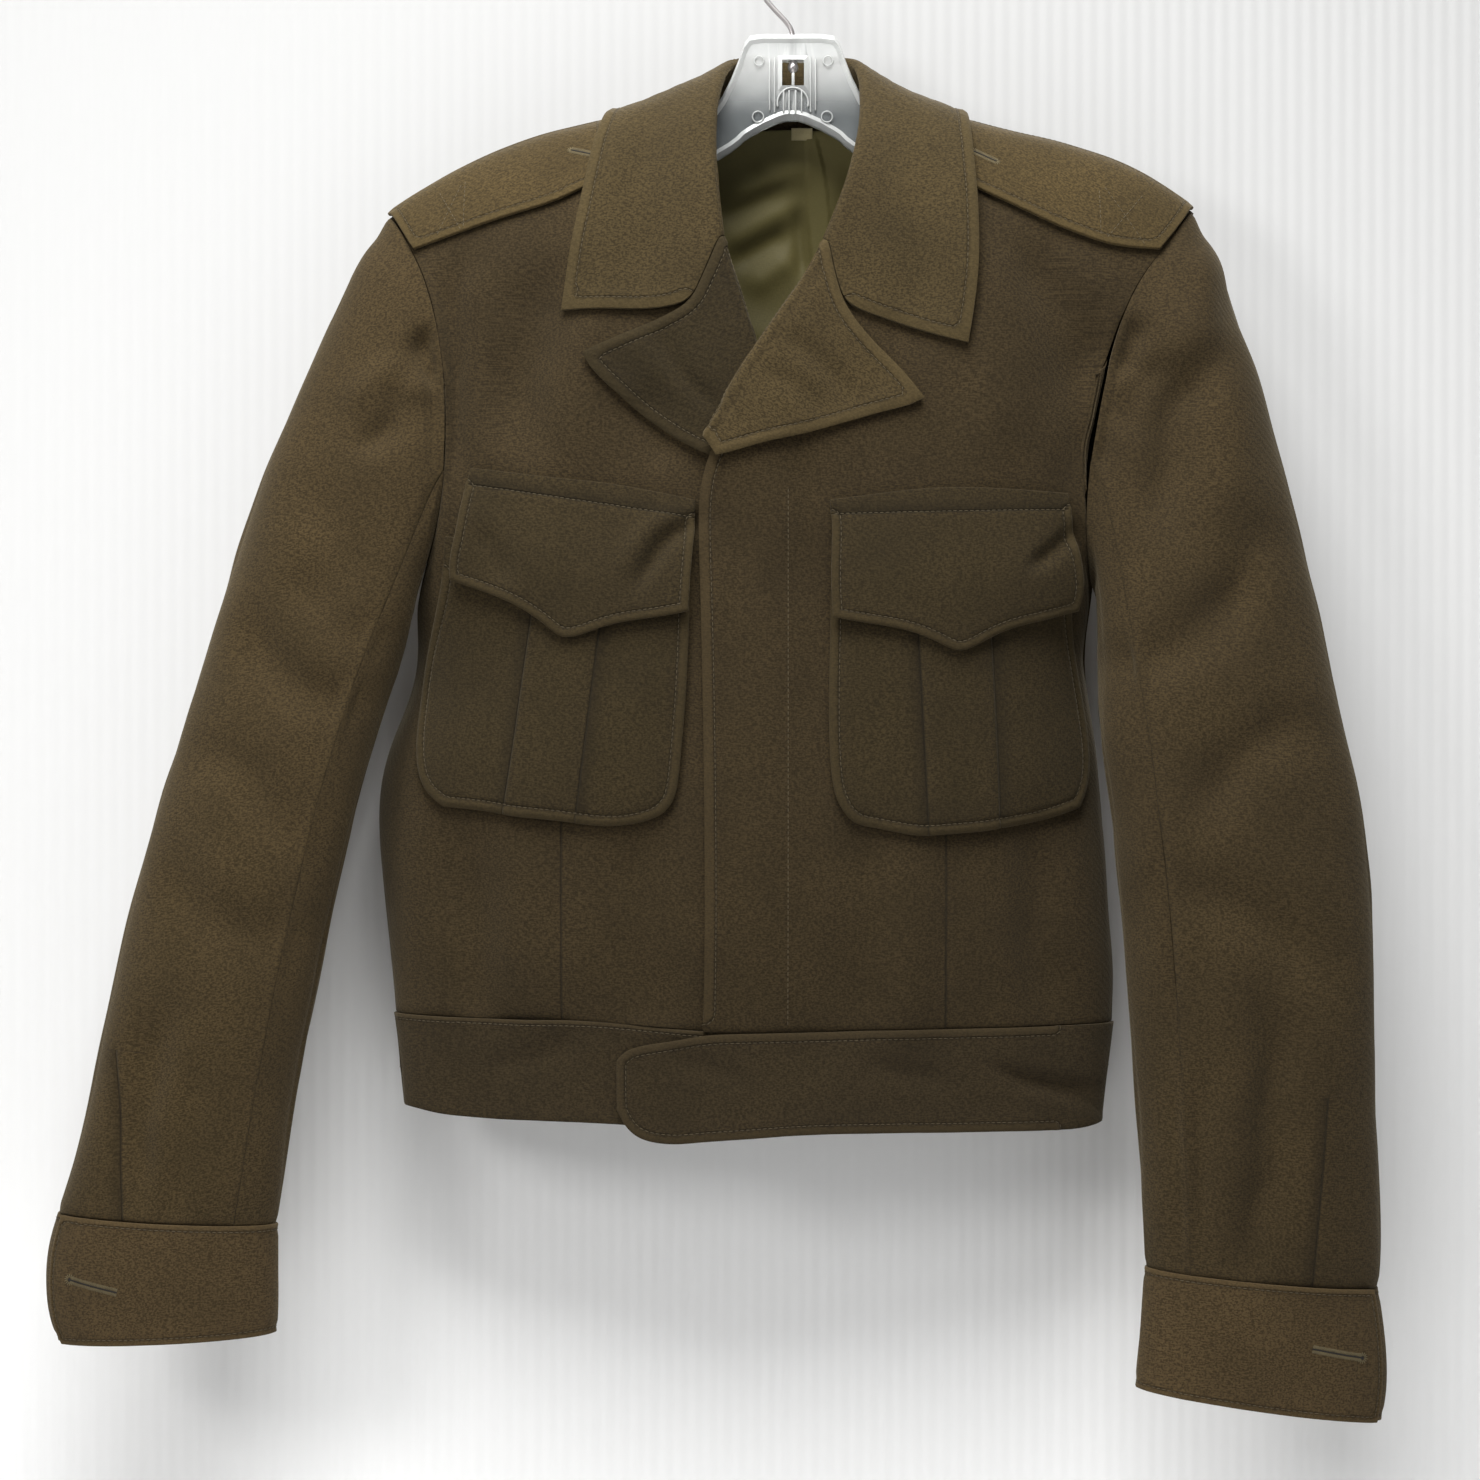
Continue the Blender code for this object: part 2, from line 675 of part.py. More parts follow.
def outer_edge(side, face):
    """The armhole and then the side seam down to the waist, as x and m."""
    line = armhole(side, face)
    x = side_x(side, -386)
    line[0] = (line[0][0], 0.0)
    line[-1] = (x, way_down(x, -386, face))
    foot = pick(WAIST, side_x(side, -611))[0]
    for index in range(1, SIDE_STEPS + 1):
        z = -386 + (foot + 386) * index / SIDE_STEPS
        x = side_x(side, z)
        line.append((x, way_down(x, z, face)))
    return line


def spread(points, count, places=None):
    """A curve in x and m as count + 1 points."""
    return [(p.x, p.y) for p in along(points, count + 1, places=places)]


def side_shares(count):
    """Shares across a panel that grow closer near its side seam."""
    raw = [math.sin(math.pi / 2 * (0.18 + 0.82 * index / count)) for index in range(count + 1)]
    return [(value - raw[0]) / (raw[-1] - raw[0]) for value in raw]


def blend_grid(top, bottom, first, last):
    """A grid between four edges that already have their points, in x and m."""
    grid = []
    for r, v in enumerate(DOWN_PLACES):
        line = []
        for c in range(len(top)):
            u_top = (top[c][0] - top[0][0]) / (top[-1][0] - top[0][0])
            u_bottom = (bottom[c][0] - bottom[0][0]) / (bottom[-1][0] - bottom[0][0])
            u = u_top * (1 - v) + u_bottom * v
            values = []
            for axis in (0, 1):
                straight = (top[c][axis] * (1 - v) + bottom[c][axis] * v
                            + first[r][axis] * (1 - u) + last[r][axis] * u)
                corners = (top[0][axis] * (1 - u) * (1 - v) + top[-1][axis] * u * (1 - v)
                           + bottom[0][axis] * (1 - u) * v + bottom[-1][axis] * u * v)
                values.append(straight - corners)
            line.append(tuple(values))
        grid.append(line)
    return grid


def front_patch(side):
    """The corners of one front, rows from the shoulder to the waist, columns from the inner edge
    to the armhole and the side seam, as x and m."""
    edge = [(x, way_down(x, z)) for x, z in FRONT_EDGE[side]]
    edge[0] = (edge[0][0], 0.0)
    outer = outer_edge(side, 1)
    inner = spread(edge, ROWS, DOWN_PLACES)
    top_x = inner[0][0]
    across = side_shares(RIDGE_STEPS)
    top = [(top_x + (outer[0][0] - top_x) * s, 0.0) for s in across]
    bottom = []
    for s in across:
        x = inner[-1][0] + (outer[-1][0] - inner[-1][0]) * s
        bottom.append((x, way_down(x, pick(WAIST, x)[0])))
    inner[-1] = bottom[0]
    bottom[-1] = outer[-1]
    return blend_grid(top, bottom, inner, outer)


def back_patch():
    """The same for the back, from the right armhole to the left one."""
    first = outer_edge("right", -1)
    last = outer_edge("left", -1)
    across = side_shares(RIDGE_STEPS)
    right_top = [(-48 + (first[0][0] + 48) * s, 0.0) for s in across]
    left_top = [(48 + (last[0][0] - 48) * s, 0.0) for s in across]
    neck = [(-48, 0.0)]
    for row in COLLAR[5:12]:
        face = row[2]
        if face < 0:
            neck.append((row[0], way_down(row[0], row[1], -1)))
    neck.append((48, 0.0))
    neck = spread(neck, NECK_STEPS)
    neck[0] = (-48, 0.0)
    neck[-1] = (48, 0.0)
    top = right_top[::-1] + neck[1:-1] + left_top
    count = len(top)
    bottom = []
    for index in range(count):
        share = index / (count - 1)
        share = 0.5 - 0.5 * math.cos(math.pi * (0.12 + 0.76 * share))
        low = 0.5 - 0.5 * math.cos(math.pi * 0.12)
        share = (share - low) / (1 - 2 * low)
        x = first[-1][0] + (last[-1][0] - first[-1][0]) * share
        bottom.append((x, way_down(x, pick(WAIST, x)[0], -1)))
    bottom[0] = first[-1]
    bottom[-1] = last[-1]
    return blend_grid(top, bottom, first, last)


def left_lift(x, z):
    """How far the left front stands off where it laps over the right one."""
    over = 2.7 * ease((60 - x) / 50)
    lapel = 5.3 * ease((28 - x) / 28) * ease((z + 350) / 30) * ease((-200 - z) / 30)
    return over + lapel


front_right_grid = [[body(x, m) for x, m in line] for line in front_patch("right")]
front_left_flat = front_patch("left")
front_left_grid = [[body(x, m) for x, m in line] for line in front_left_flat]
back_grid = [[body(x, m) for x, m in line] for line in back_patch()]


def sleeve_ring(row, around, total):
    """A point of a sleeve's section. 0 is its outer point, then over the front to the inner point."""
    outer_x, outer_z, inner_x, inner_z, y_mid, half_depth, lean = row
    turn = 2 * math.pi * around / total
    cos = math.cos(turn)
    return Vector(((outer_x + inner_x) / 2 + (outer_x - inner_x) / 2 * cos,
                   y_mid - half_depth * math.sin(turn) + lean * cos,
                   (outer_z + inner_z) / 2 + (outer_z - inner_z) / 2 * cos))


def sleeve_grid(side):
    """The closed rings of a sleeve from the armhole to the cuff."""
    rows = SLEEVE[side]
    total = 2 * ARM_STEPS
    front = [body(x, m) for x, m in outer_edge(side, 1)[:ARM_STEPS + 1]]
    back = [body(x, m) for x, m in outer_edge(side, -1)[:ARM_STEPS + 1]]
    loop = front + back[-2:0:-1]
    grid = []
    for index, row in enumerate(rows):
        fade = 1 - ease(index / 6)
        ring = []
        for around in range(total):
            point = sleeve_ring(row, around, total)
            point += (loop[around] - sleeve_ring(rows[0], around, total)) * fade
            ring.append(point)
        grid.append(ring)
    middle = []
    for ring in grid:
        total_point = Vector((0, 0, 0))
        for point in ring:
            total_point += point
        middle.append(total_point / total)
    for index, ring in enumerate(grid):
        hold = min(index / 1.5, 1.0) * (1 if index < len(grid) - 1 else 0.35)
        for around in range(total):
            push = 0.0
            for a0, r0, a1, r1, half, depth in SLEEVE_FOLDS[side]:
                ax, ay = a0 * 38, r0 * 15
                bx, by = a1 * 38, r1 * 15
                px, py = index * 38, around * 15
                span = (bx - ax) ** 2 + (by - ay) ** 2
                share = ((px - ax) * (bx - ax) + (py - ay) * (by - ay)) / span
                share = min(max(share, 0.0), 1.0)
                away = math.hypot(px - ax - share * (bx - ax), py - ay - share * (by - ay))
                push += depth * math.exp(-(away / half) ** 2)
            out = (ring[around] - middle[index]).normalized()
            ring[around] = ring[around] + out * push * hold
    return grid


sleeve_grids = {"right": sleeve_grid("right"), "left": sleeve_grid("left")}

# The directions that the body's pieces share along their seams.
body_shared = share_directions([(front_right_grid, True), (front_left_grid, False),
                                (back_grid, True)])
sleeve_shared = {}
for side, grid in sleeve_grids.items():
    closed = [ring + [ring[0]] for ring in grid]
    sleeve_shared[side] = share_directions([(closed, side == "left")])
    join_directions(body_shared, sleeve_shared[side])


FRONT_CUTS = [6, 11]     # rows where a front's lengths meet: above the chest and at the armhole's foot
SLEEVE_CUTS = [5, 10]    # rows where a sleeve's lengths meet

three_lengths("front_right", front_right_grid, 0.0, -WALL, CHEST_WOOL, FRONT_CUTS, body_shared)
lifts = [[left_lift(p.x, p.z) for p in line] for line in front_left_grid]
three_lengths("front_left", front_left_grid, lifts, [[v - WALL for v in line] for line in lifts],
              CHEST_WOOL, FRONT_CUTS, body_shared)
sheet("back", back_grid, 0.0, -WALL, CHEST_WOOL, shared=body_shared)

FRONT_SEAM = 8       # the ring's corner of a sleeve's front seam
BACK_SEAM = 15       # and of its back seam
for side, grid in sleeve_grids.items():
    total = 2 * ARM_STEPS
    top = [[ring[i % total] for i in range(BACK_SEAM, FRONT_SEAM + total + 1)] for ring in grid]
    under = [ring[FRONT_SEAM:BACK_SEAM + 1] for ring in grid]
    three_lengths("sleeve_" + side + "_top", top, 0.0, -WALL, SLEEVE_WOOL, SLEEVE_CUTS,
                  sleeve_shared[side])
    three_lengths("sleeve_" + side + "_under", under, 0.0, -WALL, SLEEVE_WOOL, SLEEVE_CUTS,
                  sleeve_shared[side])


def cuff(side):
    """An open band round the wrist. Its front end laps over the other end at the outer side."""
    total = 2 * ARM_STEPS
    start = 1.35
    stops = [start] + [float(i) for i in range(2, total)] + [total - 0.4, total + 0.4, total + 1.2,
                                                             total + 2.0, total + 2.8]
    grid = []
    heights_out = []
    heights_in = []
    for row in CUFF[side]:
        line = []
        tuck = []
        for spot in stops:
            line.append(sleeve_ring(row, spot, total))
            tuck.append(4.2 * ease((spot - total + 0.4) / 1.9))
        grid.append(line)
        heights_out.append([1.0 - t for t in tuck])
        heights_in.append([1.0 - BAND - t for t in tuck])
    grid[0] = [p + Vector((0, 0, -SEAM)) for p in grid[0]]
    return sheet("cuff_" + side, grid, heights_out, heights_in, BAND_WOOL, flip=(side == "left"))


cuff("right")
cuff("left")


BAND_ROWS = 3


def band_spot(x, row, extra=0.0):
    """Height of a row of the waistband, between the waist seam and the hem."""
    top = pick(WAIST, x)[0]
    foot = pick(HEM, x)[0] - extra
    return top + (foot - top) * row / BAND_ROWS


def band_end(side, row, face):
    """The waistband's point on the side seam, the same for the front and the back."""
    z = band_spot(side_x(side, -611 - 52 * row / BAND_ROWS), row)
    x = side_x(side, z)
    return body(x, way_down(x, z, face))


def ring_x(row, turn):
    """Place across the waistband at an angle round its section, 0 in the middle."""
    right, left = pick(BODY, -611 - 52 * row / BAND_ROWS)[0:2]
    return (right + left) / 2 + (left - right) / 2 * math.sin(turn)


def right_band():
    """The right front of the waistband, which the tab laps over."""
    grid = []
    for row in range(BAND_ROWS + 1):
        line = []
        for step in range(14):
            x = ring_x(row, -math.pi / 2 * (0.08 + 0.92 * step / 14))
            line.append(body(x, way_down(x, band_spot(x, row))))
        line.append(band_end("right", row, 1))
        grid.append(line)
    return grid


def left_band():
    """The left front of the waistband with the tab that laps over the right one, and how far its
    points stand off."""
    grid = []
    stand_off = []
    for row in range(BAND_ROWS + 1):
        line = []
        lift = []
        for x_tab, z_top, z_foot in TAB[::-1]:
            z = z_top + (z_foot - z_top) * row / BAND_ROWS
            line.append(body(x_tab, way_down(x_tab, z)))
            lift.append(3.6)
        right, left = pick(BODY, -611 - 52 * row / BAND_ROWS)[0:2]
        start = math.asin((-48 - (right + left) / 2) / ((left - right) / 2))
        for step in range(1, 14):
            x = ring_x(row, start + (math.pi / 2 - start) * step / 14)
            z = band_spot(x, row, 5.0 * ease((20 - x) / 70))
            line.append(body(x, way_down(x, z)))
            lift.append(3.6 * ease((60 - x) / 50))
        line.append(band_end("left", row, 1))
        lift.append(0.0)
        grid.append(line)
        stand_off.append(lift)
    return grid, stand_off


def back_band():
    """The back of the waistband."""
    grid = []
    for row in range(BAND_ROWS + 1):
        line = [band_end("right", row, -1)]
        for step in range(1, 24):
            x = ring_x(row, math.pi * (step / 24 - 0.5))
            line.append(body(x, way_down(x, band_spot(x, row), -1)))
        line.append(band_end("left", row, -1))
        grid.append(line)
    return grid


right_band_grid = right_band()
left_band_grid, left_band_lift = left_band()
back_band_grid = back_band()
band_shared = share_directions([(right_band_grid, True), (left_band_grid, False),
                                (back_band_grid, True)])
sheet("waistband_right", right_band_grid, 1.0, 1.0 - BAND, BAND_WOOL, shared=band_shared,
      pull=0.3)
sheet("waistband_left", left_band_grid, [[1.0 + v for v in line] for line in left_band_lift],
      [[1.0 - BAND + v for v in line] for line in left_band_lift], BAND_WOOL, shared=band_shared,
      pull=0.3)
sheet("waistband_back", back_band_grid, 1.0, 1.0 - BAND, BAND_WOOL, shared=band_shared,
      pull=0.3)


# Shares of the way from the roll to the outer edge. In the rows where a collar meets a lapel the
# first three places are on the gorge seam.
LEAF = [0.12, 0.26, 0.42, 0.6, 0.8, 1.0]
GORGE_PLACES = 3
# Rows of the collar's table after which one more section is worked out.
COLLAR_BETWEEN = (3, 4, 5, 6, 7, 8, 9, 10, 11, 12)
half = BAND / 2


def rolled_row(seam_point, crest, leaf, gap, aim=None):
    """One section of a collar or a lapel: up from its seam, over the roll and out along the leaf.
    The roll turns toward the leaf, or toward aim if it is given."""
    inward = (seam_point - crest).normalized()
    outward = ((aim or leaf[0]) - crest).normalized()
    tip = -(inward + outward).normalized()
    cross = outward - tip * outward.dot(tip)
    cross.normalize()
    centre = crest - tip * CAP
    top = centre - cross * CAP
    first = seam_point + (top - seam_point).normalized() * gap
    row = [first, first.lerp(top, 0.5)]
    for degrees in (-78, -39, 0, 39, 78):
        turn = math.radians(degrees)
        row.append(centre + (tip * math.cos(turn) + cross * math.sin(turn)) * CAP)
    return row + leaf


def side_lift(side, x, z):
    """How far the cloth under a piece stands off on this side."""
    return left_lift(x, z) if side == "left" else 0.0


def end_feet(points):
    """Feet of the row where a collar or a lapel ends, as x and z: down the gorge seam, then along
    the free edge to the corner."""
    gorge = along(points[:3], GORGE_PLACES + 1, smooth=False)
    free = along(points[2:], len(LEAF) - GORGE_PLACES + 1, smooth=False)
    return gorge[1:] + free[1:]


def leaf_level(run):
    """Height of the middle of a leaf of cloth, at a distance from its roll."""
    return 2.4 + 1.7 * math.exp(-run / 14)


def end_section(side, points):
    """The section where the collar and the lapel of one side meet, the same for both down to the
    corner of the gorge seam."""
    neck_x, neck_z = COLLAR[0 if side == "right" else -1][0:2]
    roll_x, roll_z = points[0]
    seam_point = on_front(neck_x, neck_z, side_lift(side, neck_x, neck_z) - 0.75)
    crest = on_front(roll_x, roll_z, 1.9 + side_lift(side, roll_x, roll_z))
    leaf = []
    for foot in end_feet(points):
        run = math.hypot(foot.x - roll_x, foot.y - roll_z)
        leaf.append(on_front(foot.x, foot.y, leaf_level(run) + side_lift(side, foot.x, foot.y)))
    aside = -9 if side == "right" else 9
    aim = on_front(roll_x + aside, roll_z - 4, 3.5 + side_lift(side, roll_x + aside, roll_z - 4))
    return rolled_row(seam_point, crest, leaf, 0.7, aim)


def bent_feet(points, start, end):
    """How far the feet of an end row lie from the straight line between two points, in x and m."""
    feet = [Vector((foot.x, way_down(foot.x, foot.y))) for foot in end_feet(points)]
    a = Vector((points[0][0], way_down(points[0][0], points[0][1])))
    b = feet[-1]
    return [foot - a.lerp(b, share) for foot, share in zip(feet, LEAF)]


def collar_rows_in_cloth():
    """The collar's table as numbers that can be blended: the neck and the edge as x and m."""
    rows = []
    for neck_x, neck_z, neck_face, roll_x, roll_y, roll_z, edge_x, edge_z, edge_face, height in COLLAR:
        rows.append(Vector((neck_x, way_down(neck_x, neck_z, neck_face), roll_x, roll_y, roll_z,
                            edge_x, way_down(edge_x, edge_z, edge_face), height)))
    finer = []
    last = len(rows) - 1
    for index in range(last):
        finer.append((index, rows[index]))
        if index in COLLAR_BETWEEN:
            a, b = rows[index - 1], rows[index]
            d, e = rows[index + 1], rows[index + 2]
            finer.append((index + 0.5, (9 * (b + d) - a - e) / 16))
    finer.append((last, rows[-1]))
    return finer


def collar_grid():
    """All sections of the collar."""
    grid = []
    last = len(COLLAR) - 1
    for index, row in collar_rows_in_cloth():
        side = "right" if index < last / 2 else "left"
        from_end = min(index, last - index)
        if from_end == 0:
            grid.append(end_section(side, COLLAR_END[side]))
            continue
        neck = Vector((row[0], row[1]))
        crest = Vector((row[2], row[3], row[4]))
        edge = Vector((row[5], row[6]))
        height = row[7]
        bend = (1.0, 0.5, 0.18, 0.05, 0.0)[min(int(from_end), 4)]
        lift = side_lift(side, neck.x, body(neck.x, neck.y).z) if neck.y > 0 else 0.0
        foot = above(neck.x, neck.y, height + lift)
        leaf = []
        for share, off in zip(LEAF, bent_feet(COLLAR_END[side], neck, edge)):
            spot = neck.lerp(edge, share) + off * bend
            level = height + 1.6 * (1 - share) * (1 - bend)
            if spot.y > 0:
                level += side_lift(side, spot.x, body(spot.x, spot.y).z)
            point = above(spot.x, spot.y, level)
            leaf.append(point + (crest - foot) * (1 - share) ** 2.2)
        seam_point = above(neck.x, neck.y, lift - 0.75)
        grid.append(rolled_row(seam_point, crest, leaf, 1.25))
    return grid


def lapel_grid(side):
    """All sections of a lapel. Its first one meets the collar's end along the gorge seam."""
    grid = [end_section(side, LAPEL_END[side])]
    for index, (roll_x, roll_z, edge_x, edge_z) in enumerate(LAPEL[side]):
        if index == 0:
            continue
        roll = Vector((roll_x, way_down(roll_x, roll_z)))
        edge = Vector((edge_x, way_down(edge_x, edge_z)))
        reach = math.hypot(edge_x - roll_x, edge_z - roll_z)
        seam_x = roll_x + (edge_x - roll_x) / reach * 5.2
        seam_z = roll_z + (edge_z - roll_z) / reach * 5.2
        lift = side_lift(side, roll_x, roll_z)
        seam_point = on_front(seam_x, seam_z, lift - 0.75)
        crest = above(roll.x, roll.y, 1.9 + lift)
        bend = max(1 - index / 3.2, 0.0) ** 1.5
        leaf = []
        for share, off in zip(LEAF, bent_feet(LAPEL_END[side], roll, edge)):
            spot = roll.lerp(edge, share) + off * bend
            place = body(spot.x, spot.y)
            run = math.hypot(spot.x - roll_x, place.z - roll_z)
            leaf.append(above(spot.x, spot.y, leaf_level(run) + side_lift(side, place.x, place.z)))
        grid.append(rolled_row(seam_point, crest, leaf, 0.4))
    return grid


collar_rows = collar_grid()
lapel_rows = {"right": lapel_grid("right"), "left": lapel_grid("left")}
collar_shared = share_directions([(collar_rows, False), (lapel_rows["right"], True),
                                  (lapel_rows["left"], False)])
sheet("collar", collar_rows, half, -half, COLLAR_WOOL, shared=collar_shared, pull=0.25)
for side in ("right", "left"):
    sheet("lapel_" + side, lapel_rows[side], half, -half, COLLAR_WOOL if side == "left" else
          POCKET_WOOL, shared=collar_shared, pull=0.25)


def pocket_level(side, u, v, x, z):
    """Height of the middle of a pocket's cloth: flat at its sewn edges, full between them, with the
    box pleat a step higher."""
    rise = (1 - abs(2 * u - 1) ** 3.5) * ease(v / 0.35) * (1 - max(2 * v - 1, 0) ** 5)
    level = 1.9 + 3.4 * rise
    lines = []
    for x0, z0, x1, z1 in POCKET[side]["pleat"]:
        lines.append(x0 + (x1 - x0) * (z - z0) / (z1 - z0))
    low, high = min(lines), max(lines)
    step = ease((x - low) / 2.0 + 0.5) * ease((high - x) / 2.0 + 0.5)
    return level + 1.5 * step * ease(v / 0.2)


def pocket(side):
    """A patch pocket with a box pleat."""
    cut = POCKET[side]
    if side == "right":
        stops = [0.0, 0.07, 0.2, 0.325, 0.35, 0.48, 0.61, 0.635, 0.77, 0.93, 1.0]
    else:
        stops = [0.0, 0.07, 0.2, 0.335, 0.36, 0.48, 0.6, 0.625, 0.77, 0.93, 1.0]
    rows = [0.0, 0.1, 0.22, 0.35, 0.48, 0.61, 0.74, 0.87, 0.95, 1.0]
    flat = patch(cut["top"], cut["bottom"], cut["outer"], cut["inner"], stops, rows)
    grid = []
    for r, line in enumerate(flat):
        points = []
        for c, spot in enumerate(line):
            x = spot.x
            if c in (3, 4, 6, 7):
                x0, z0, x1, z1 = cut["pleat"][0 if c < 5 else 1]
                edge = x0 + (x1 - x0) * (spot.y - z0) / (z1 - z0)
                if side == "left":
                    x0, z0, x1, z1 = cut["pleat"][1 if c < 5 else 0]
                    edge = x0 + (x1 - x0) * (spot.y - z0) / (z1 - z0)
                outward = -1 if side == "right" else 1
                x = edge + outward * (1.0 if c in (3, 6) else -1.0)
                if c in (6, 7):
                    x = edge + outward * (1.0 if c == 6 else -1.0)
            level = pocket_level(side, stops[c], rows[r], x, spot.y)
            points.append(on_front(x, spot.y, level + side_lift(side, x, spot.y)))
        grid.append(points)
    return sheet("pocket_" + side, grid, 1.0, -1.0, POCKET_WOOL, flip=(side == "left"), pull=0.0)


def flap(side):
    """The flap over a pocket, sewn on above it, standing off the pocket at its point."""
    cut = FLAP[side]
    stops = shares(12)
    rows = [0.0, 0.14, 0.36, 0.6, 0.82, 1.0]
    flat = patch(cut["top"], cut["bottom"], cut["outer"], cut["inner"], stops, rows)
    grid = []
    for r, line in enumerate(flat):
        points = []
        for c, spot in enumerate(line):
            level = 2.1 + 7.9 * ease(rows[r] * 1.45) * (0.78 + 0.22 * math.sin(math.pi * stops[c]))
            level += side_lift(side, spot.x, spot.y)
            points.append(on_front(spot.x, spot.y, level))
        grid.append(points)
    return sheet("pocket_flap_" + side, grid, 1.1, -1.1, POCKET_WOOL, flip=(side == "left"), pull=0.0)


for side in ("right", "left"):
    pocket(side)
    flap(side)


def loop_strap(side):
    """The strap on the shoulder, from the sleeve seam to under the collar."""
    low = along(LOOP[side], 10)
    sign = -1 if side == "right" else 1
    height = 1.95 if side == "right" else 2.25
    grid = []
    for index, spot in enumerate(low):
        foot = way_down(spot.x, spot.y)
        share = index / 9
        top = -5.0 + 1.0 * share
        line = []
        for part in range(5):
            m = top + (foot - top) * part / 4
            if index == 0:
                x = min_arm_x(side, m) - sign * 1.2
            else:
                lean = (spot.x - low[0].x) / (low[-1].x - low[0].x)
                start = min_arm_x(side, m) - sign * 1.2
                x = start + (low[-1].x - start) * lean
            line.append(above(x, m, height))
        grid.append(line)
    return sheet("shoulder_loop_" + side, grid, half - 0.05, -half + 0.05, SLEEVE_WOOL,
                 flip=(side == "right"), pull=0.0)


def min_arm_x(side, m):
    """Where the armhole seam is at a way down from the shoulder line."""
    line = armhole(side, 1 if m >= 0 else -1)
    best = line[0][0]
    for (xa, ma), (xb, mb) in zip(line, line[1:]):
        if abs(ma) <= abs(m) <= abs(mb):
            share = (abs(m) - abs(ma)) / max(abs(mb) - abs(ma), 1e-6)
            return xa + (xb - xa) * share
    return best


loop_strap("right")
loop_strap("left")


LINING_HALF = 88
LINING_TOP = -122
LINING_FOOT = -335
LINING_BOW = 0.00176     # how fast its top edge falls away from the middle
LINING_DEPTH = 4.4       # how far inside the back's outer face it hangs
LINING_ROWS = 12
LINING_COLUMNS = 10


def lining():
    """The back lining that shows in the neck."""
    grid = []
    for r in range(LINING_ROWS + 1):
        line = []
        for c in range(LINING_COLUMNS + 1):
            x = LINING_HALF * (2 * c / LINING_COLUMNS - 1)
            top = way_down(x, LINING_TOP - LINING_BOW * x * x, -1)
            foot = way_down(x, LINING_FOOT, -1)
            m = top + (foot - top) * r / LINING_ROWS
            line.append(above(x, m, -LINING_DEPTH - 2.0 * ease(1 - r / 4)))
        grid.append(line)
    return sheet("lining_back", grid, 0.6, -0.6, SATEEN, rough=0.45, flip=True, pull=0.0)


lining()


LABEL_TOP = -120.5
LABEL_FOOT = -127.5
LABEL_WIDTH = 12
LABEL_DEPTH = 8.0


def label():
    """A bare label sewn to the lining under the neck."""
    grid = []
    for r in range(2):
        line = []
        for c in range(3):
            x = LABEL_WIDTH * c / 2
            m = way_down(x, LABEL_TOP, -1)
            m += (way_down(x, LABEL_FOOT, -1) - m) * r
            line.append(above(x, m, -LABEL_DEPTH))
        grid.append(line)
    return sheet("size_label", grid, 0.5, -0.5, (0.22, 0.2, 0.13), flip=True, pull=0.0)


label()


def tube(name, centres, radii, sides, colour, rough, metal):
    """A round wire along a path that lies in a plane across Y."""
    data = bmesh.new()
    rings = []
    for index, centre in enumerate(centres):
        before = centres[max(index - 1, 0)]
        after = centres[min(index + 1, len(centres) - 1)]
        way = (after - before).normalized()
        side_way = Vector((0, 1, 0))
        other = way.cross(side_way).normalized()
        ring = []
        for part in range(sides):
            turn = 2 * math.pi * part / sides
            spot = centre + (side_way * math.cos(turn) + other * math.sin(turn)) * radii[index]
            ring.append(data.verts.new(spot * MM))
        rings.append(ring)
    for low, high in zip(rings, rings[1:]):
        for part in range(sides):
            nxt = (part + 1) % sides
            data.faces.new([low[part], low[nxt], high[nxt], high[part]])
    data.faces.new(rings[0][::-1])
    data.faces.new(rings[-1])
    bmesh.ops.recalc_face_normals(data, faces=data.faces[:])
    return keep(data, name, colour, rough, metal)


def hook():
    """The wire hook with the ball that turns in the hanger's slot."""
    stem = along([Vector((x, 0, z)) for x, z in HOOK_STEM], 12)
    centre = Vector((0, 0, -(HOOK_RADIUS - WIRE)))
    arc = []
    for step in range(1, 19):
        turn = math.radians(208 - step * (208 + 32) / 18)
        arc.append(centre + Vector((math.cos(turn), 0, math.sin(turn))) * HOOK_RADIUS)
    ball = []
    ball_radii = []
    for degrees in (12, 38, 64, 90, 116, 142):
        turn = math.radians(degrees)
        ball.append(Vector((BALL_PLACE[0], 0, BALL_PLACE[1] - BALL * math.cos(turn))))
        ball_radii.append(BALL * math.sin(turn))
    path = [p for p in stem if p.z > BALL_PLACE[1] + BALL] + arc
    radii = ball_radii + [WIRE] * len(path)
    radii[-1] = WIRE * 0.7
    return tube("hook", ball + path, radii, 10, (0.62, 0.62, 0.6), 0.25, 1.0)


